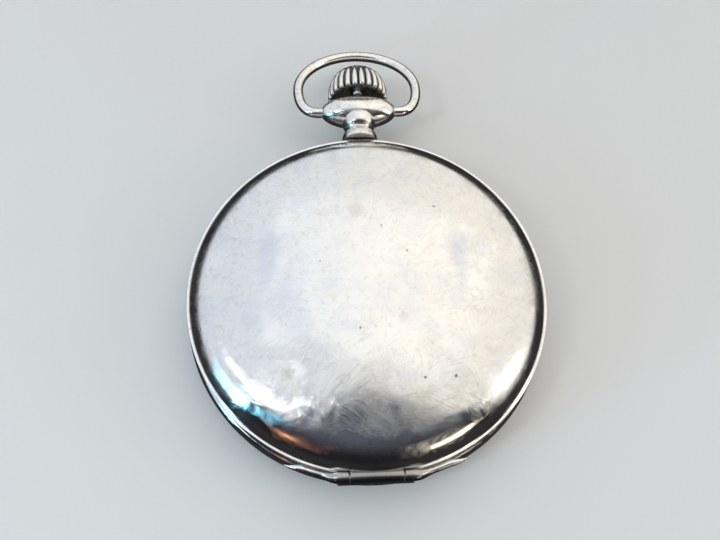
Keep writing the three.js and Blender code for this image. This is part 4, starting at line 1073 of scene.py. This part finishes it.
def jewel(name, x, y, top, radius=0.75):
    """A red jewel in a gilt setting, let into a bridge."""
    ring = [(radius, top - 0.1), (radius * 1.5, top - 0.1), (radius * 1.5, top + 0.05), (radius, top + 0.02)]
    setting = lathe(name + "_setting", soften(ring, 0.03, closed=True), 64, True)
    stone = [(0.12, top - 0.02), (0.3, top + 0.01, 0.1), (radius, top - 0.02, 0.1)]
    stone += [(radius, top - 0.1), (0.12, top - 0.1)]
    gem = lathe(name, soften(stone, 0.05, closed=True), 64, True)
    for piece, material in ((setting, GILT), (gem, RUBY)):
        settle(move(piece, x, y), "case", "gilt_brass", material)


def jewels():
    jewel("centre_jewel", 0, 0, 10.0, 0.8)
    for name in ("third_turn", "fourth_turn", "escape_turn"):
        at = joint_place(name)
        jewel(name.replace("turn", "jewel"), at.x, at.y, 10.0, 0.62)


def finish_cad():
    """Materials, and softened edges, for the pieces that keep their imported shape."""
    looks = {
        STRIPED: ["barrel_bridge", "train_bridge", "pallet_bridge", "balance_cock"],
        CIRCLED: ["main_plate"],
        STEEL: ["back_hinge_pin", "bezel_hinge_pin", "winding_stem", "winding_pinion", "sliding_clutch"],
        GILT: ["mainspring_barrel", "barrel_cover", "centre_wheel", "third_wheel", "fourth_wheel"],
        BLUED: ["mainspring", "click_spring", "balance_end_cap"],
    }
    looks[STEEL] += ["setting_lever", "clutch_yoke", "regulator", "barrel_arbor", "click"]
    looks[STEEL] += ["escape_wheel", "pallet_fork", "balance_staff", "roller_table", "cannon_pinion"]
    looks[STEEL] += ["minute_wheel", "setting_wheel"]
    looks[GILT] += ["hour_wheel"]
    for material, names in looks.items():
        for name in names:
            node = frame["nodes"][name]
            node.data.materials.clear()
            node.data.materials.append(material)
            if material is STRIPED or name == "click":
                bevel = node.modifiers.new("edges", "BEVEL")
                bevel.width = 0.07 * MM
                bevel.segments = 2
                bevel.limit_method = "ANGLE"
                bevel.angle_limit = math.radians(40)


# ---- Floor, light and camera ----------------------------------------------------------------------


def floor():
    """A pale sweep of paper: flat under the watch and rising far behind it on every side."""
    sweep_up = [(0, 0), (520, 0, 200), (1150, 60, 400), (1500, 900, 300), (1520, 1500)]
    piece = lathe("floor", soften(sweep_up, steps=16), 96)
    s = Surface("floor_paper", (0.78, 0.78, 0.77), 0.0, 0.75)
    s.color(s.mix(s.noise(40, 3), (0.77, 0.77, 0.76), (0.8, 0.8, 0.79)))
    s.bump(s.noise(0.6, 3), 0.02, 0.2)
    piece.data.materials.append(s.material)
    piece.visible_glossy = False
    piece.visible_shadow = False


def card(name, spot, aim, width, height, power, color):
    """A soft rectangular light at spot, in millimetres, facing aim."""
    light = bpy.data.lights.new(name, "AREA")
    light.shape = "RECTANGLE"
    light.size = width * MM
    light.size_y = height * MM
    light.energy = power
    light.color = color
    lamp = bpy.data.objects.new(name, light)
    lamp.location = Vector(spot) * MM
    lamp.rotation_euler = (Vector(aim) - Vector(spot)).to_track_quat("-Z", "Y").to_euler()
    bpy.context.scene.collection.objects.link(lamp)
    return lamp


def world():
    """A soft white tent, open and dark towards the viewer's side and below the horizon."""
    scene = bpy.context.scene
    scene.view_settings.view_transform = "Standard"
    scene.world = bpy.data.worlds.new("studio")
    scene.world.use_nodes = True
    sky = Nodes(scene.world.node_tree)
    background = next(n for n in sky.tree.nodes if n.type == "BACKGROUND")
    background.inputs["Strength"].default_value = 1.0
    axes = sky.node("ShaderNodeSeparateXYZ")
    sky.link(sky.node("ShaderNodeTexCoord").outputs["Generated"], axes.inputs["Vector"])
    x, y, z = axes.outputs
    sides = sky.math("MULTIPLY", sky.math("ABSOLUTE", x, 0), -0.3)
    front = sky.ramp(sky.math("SUBTRACT", sides, y), 0.13, 0.21)
    warmth = sky.ramp(x, -0.5, 0.5)
    tent = sky.mix(warmth, (0.78, 0.84, 0.93), (1.02, 0.98, 0.9))
    room = sky.mix(sky.ramp(z, 0.3, 0.97), (0.015, 0.015, 0.018), (0.1, 0.11, 0.14))
    upper = sky.mix(front, tent, room)
    below = sky.ramp(z, -0.05, 0.14)
    sky.link(sky.mix(below, (0.03, 0.03, 0.032), upper), background.inputs["Color"])


def camera():
    azimuth, elevation, roll = math.radians(-6.65), math.radians(65.96), math.radians(4.59)
    level = math.cos(elevation)
    back = Vector((math.sin(azimuth) * level, -math.cos(azimuth) * level, math.sin(elevation)))
    target = Vector((-0.95, 3.31, 8.1))
    right = (-back).cross(Vector((0, 0, 1))).normalized()
    up = right.cross(-back)
    across = right * math.cos(roll) + up * math.sin(roll)
    above = up * math.cos(roll) - right * math.sin(roll)
    view = bpy.data.cameras.new("view")
    view.lens = 37
    view.sensor_width = 36
    view.clip_start = 0.005
    eye = bpy.data.objects.new("view", view)
    turn = Matrix((across, above, back)).transposed().to_4x4()
    eye.matrix_world = Matrix.Translation((target + back * 104.32) * MM) @ turn
    bpy.context.scene.collection.objects.link(eye)
    bpy.context.scene.camera = eye


def lights():
    card("overhead", (40, 160, 400), (0, 0, 8), 520, 420, 0.12, (1.0, 0.98, 0.94))
    card("cool_strip", (-275, -134, 101), (0, -6, 8), 30, 120, 0.22, (0.2, 0.68, 1.0))
    card("white_patch", (-172, -84, 240), (-14, -16, 8), 16, 56, 0.07, (1.0, 1.0, 1.0))
    card("brown_patch", (-175, -235, 110), (-10, -19, 8), 30, 22, 0.012, (0.9, 0.42, 0.22))
    card("warm_strip", (190, -250, 90), (8, -20, 8), 110, 34, 0.05, (1.0, 0.9, 0.72))
    card("right_strip", (320, -90, 150), (0, 0, 8), 50, 160, 0.1, (1.0, 0.98, 0.94))


# ---- Putting it together --------------------------------------------------------------------------

SILVER = case_silver()
NICKEL = pendant_nickel()
CROWN_METAL = crown_nickel()
GLASS = crystal_glass()
ENAMEL = enamel()
INK = dial_ink()
BLUED = blued_steel()
STEEL = steel()
GILT = gilt_brass()
STRIPED = striped_nickel()
CIRCLED = circled_nickel()
RUBY = ruby()
RATCHET_STEEL = snailed_steel("ratchet_steel", joint_place("ratchet_turn"))
CROWN_WHEEL_STEEL = snailed_steel("crown_wheel_steel", joint_place("crown_wheel_turn"))

back_cover()
case_middle()
bezel()
crystal()
pendant()
bow()
crown()
dial()
dial_print()
hands()
for index, name in enumerate(SCREWS):
    screw(name, 17 + 47 * index)
winding_wheels()
balance()
hairspring()
jewels()
finish_cad()

floor()
world()
lights()
camera()
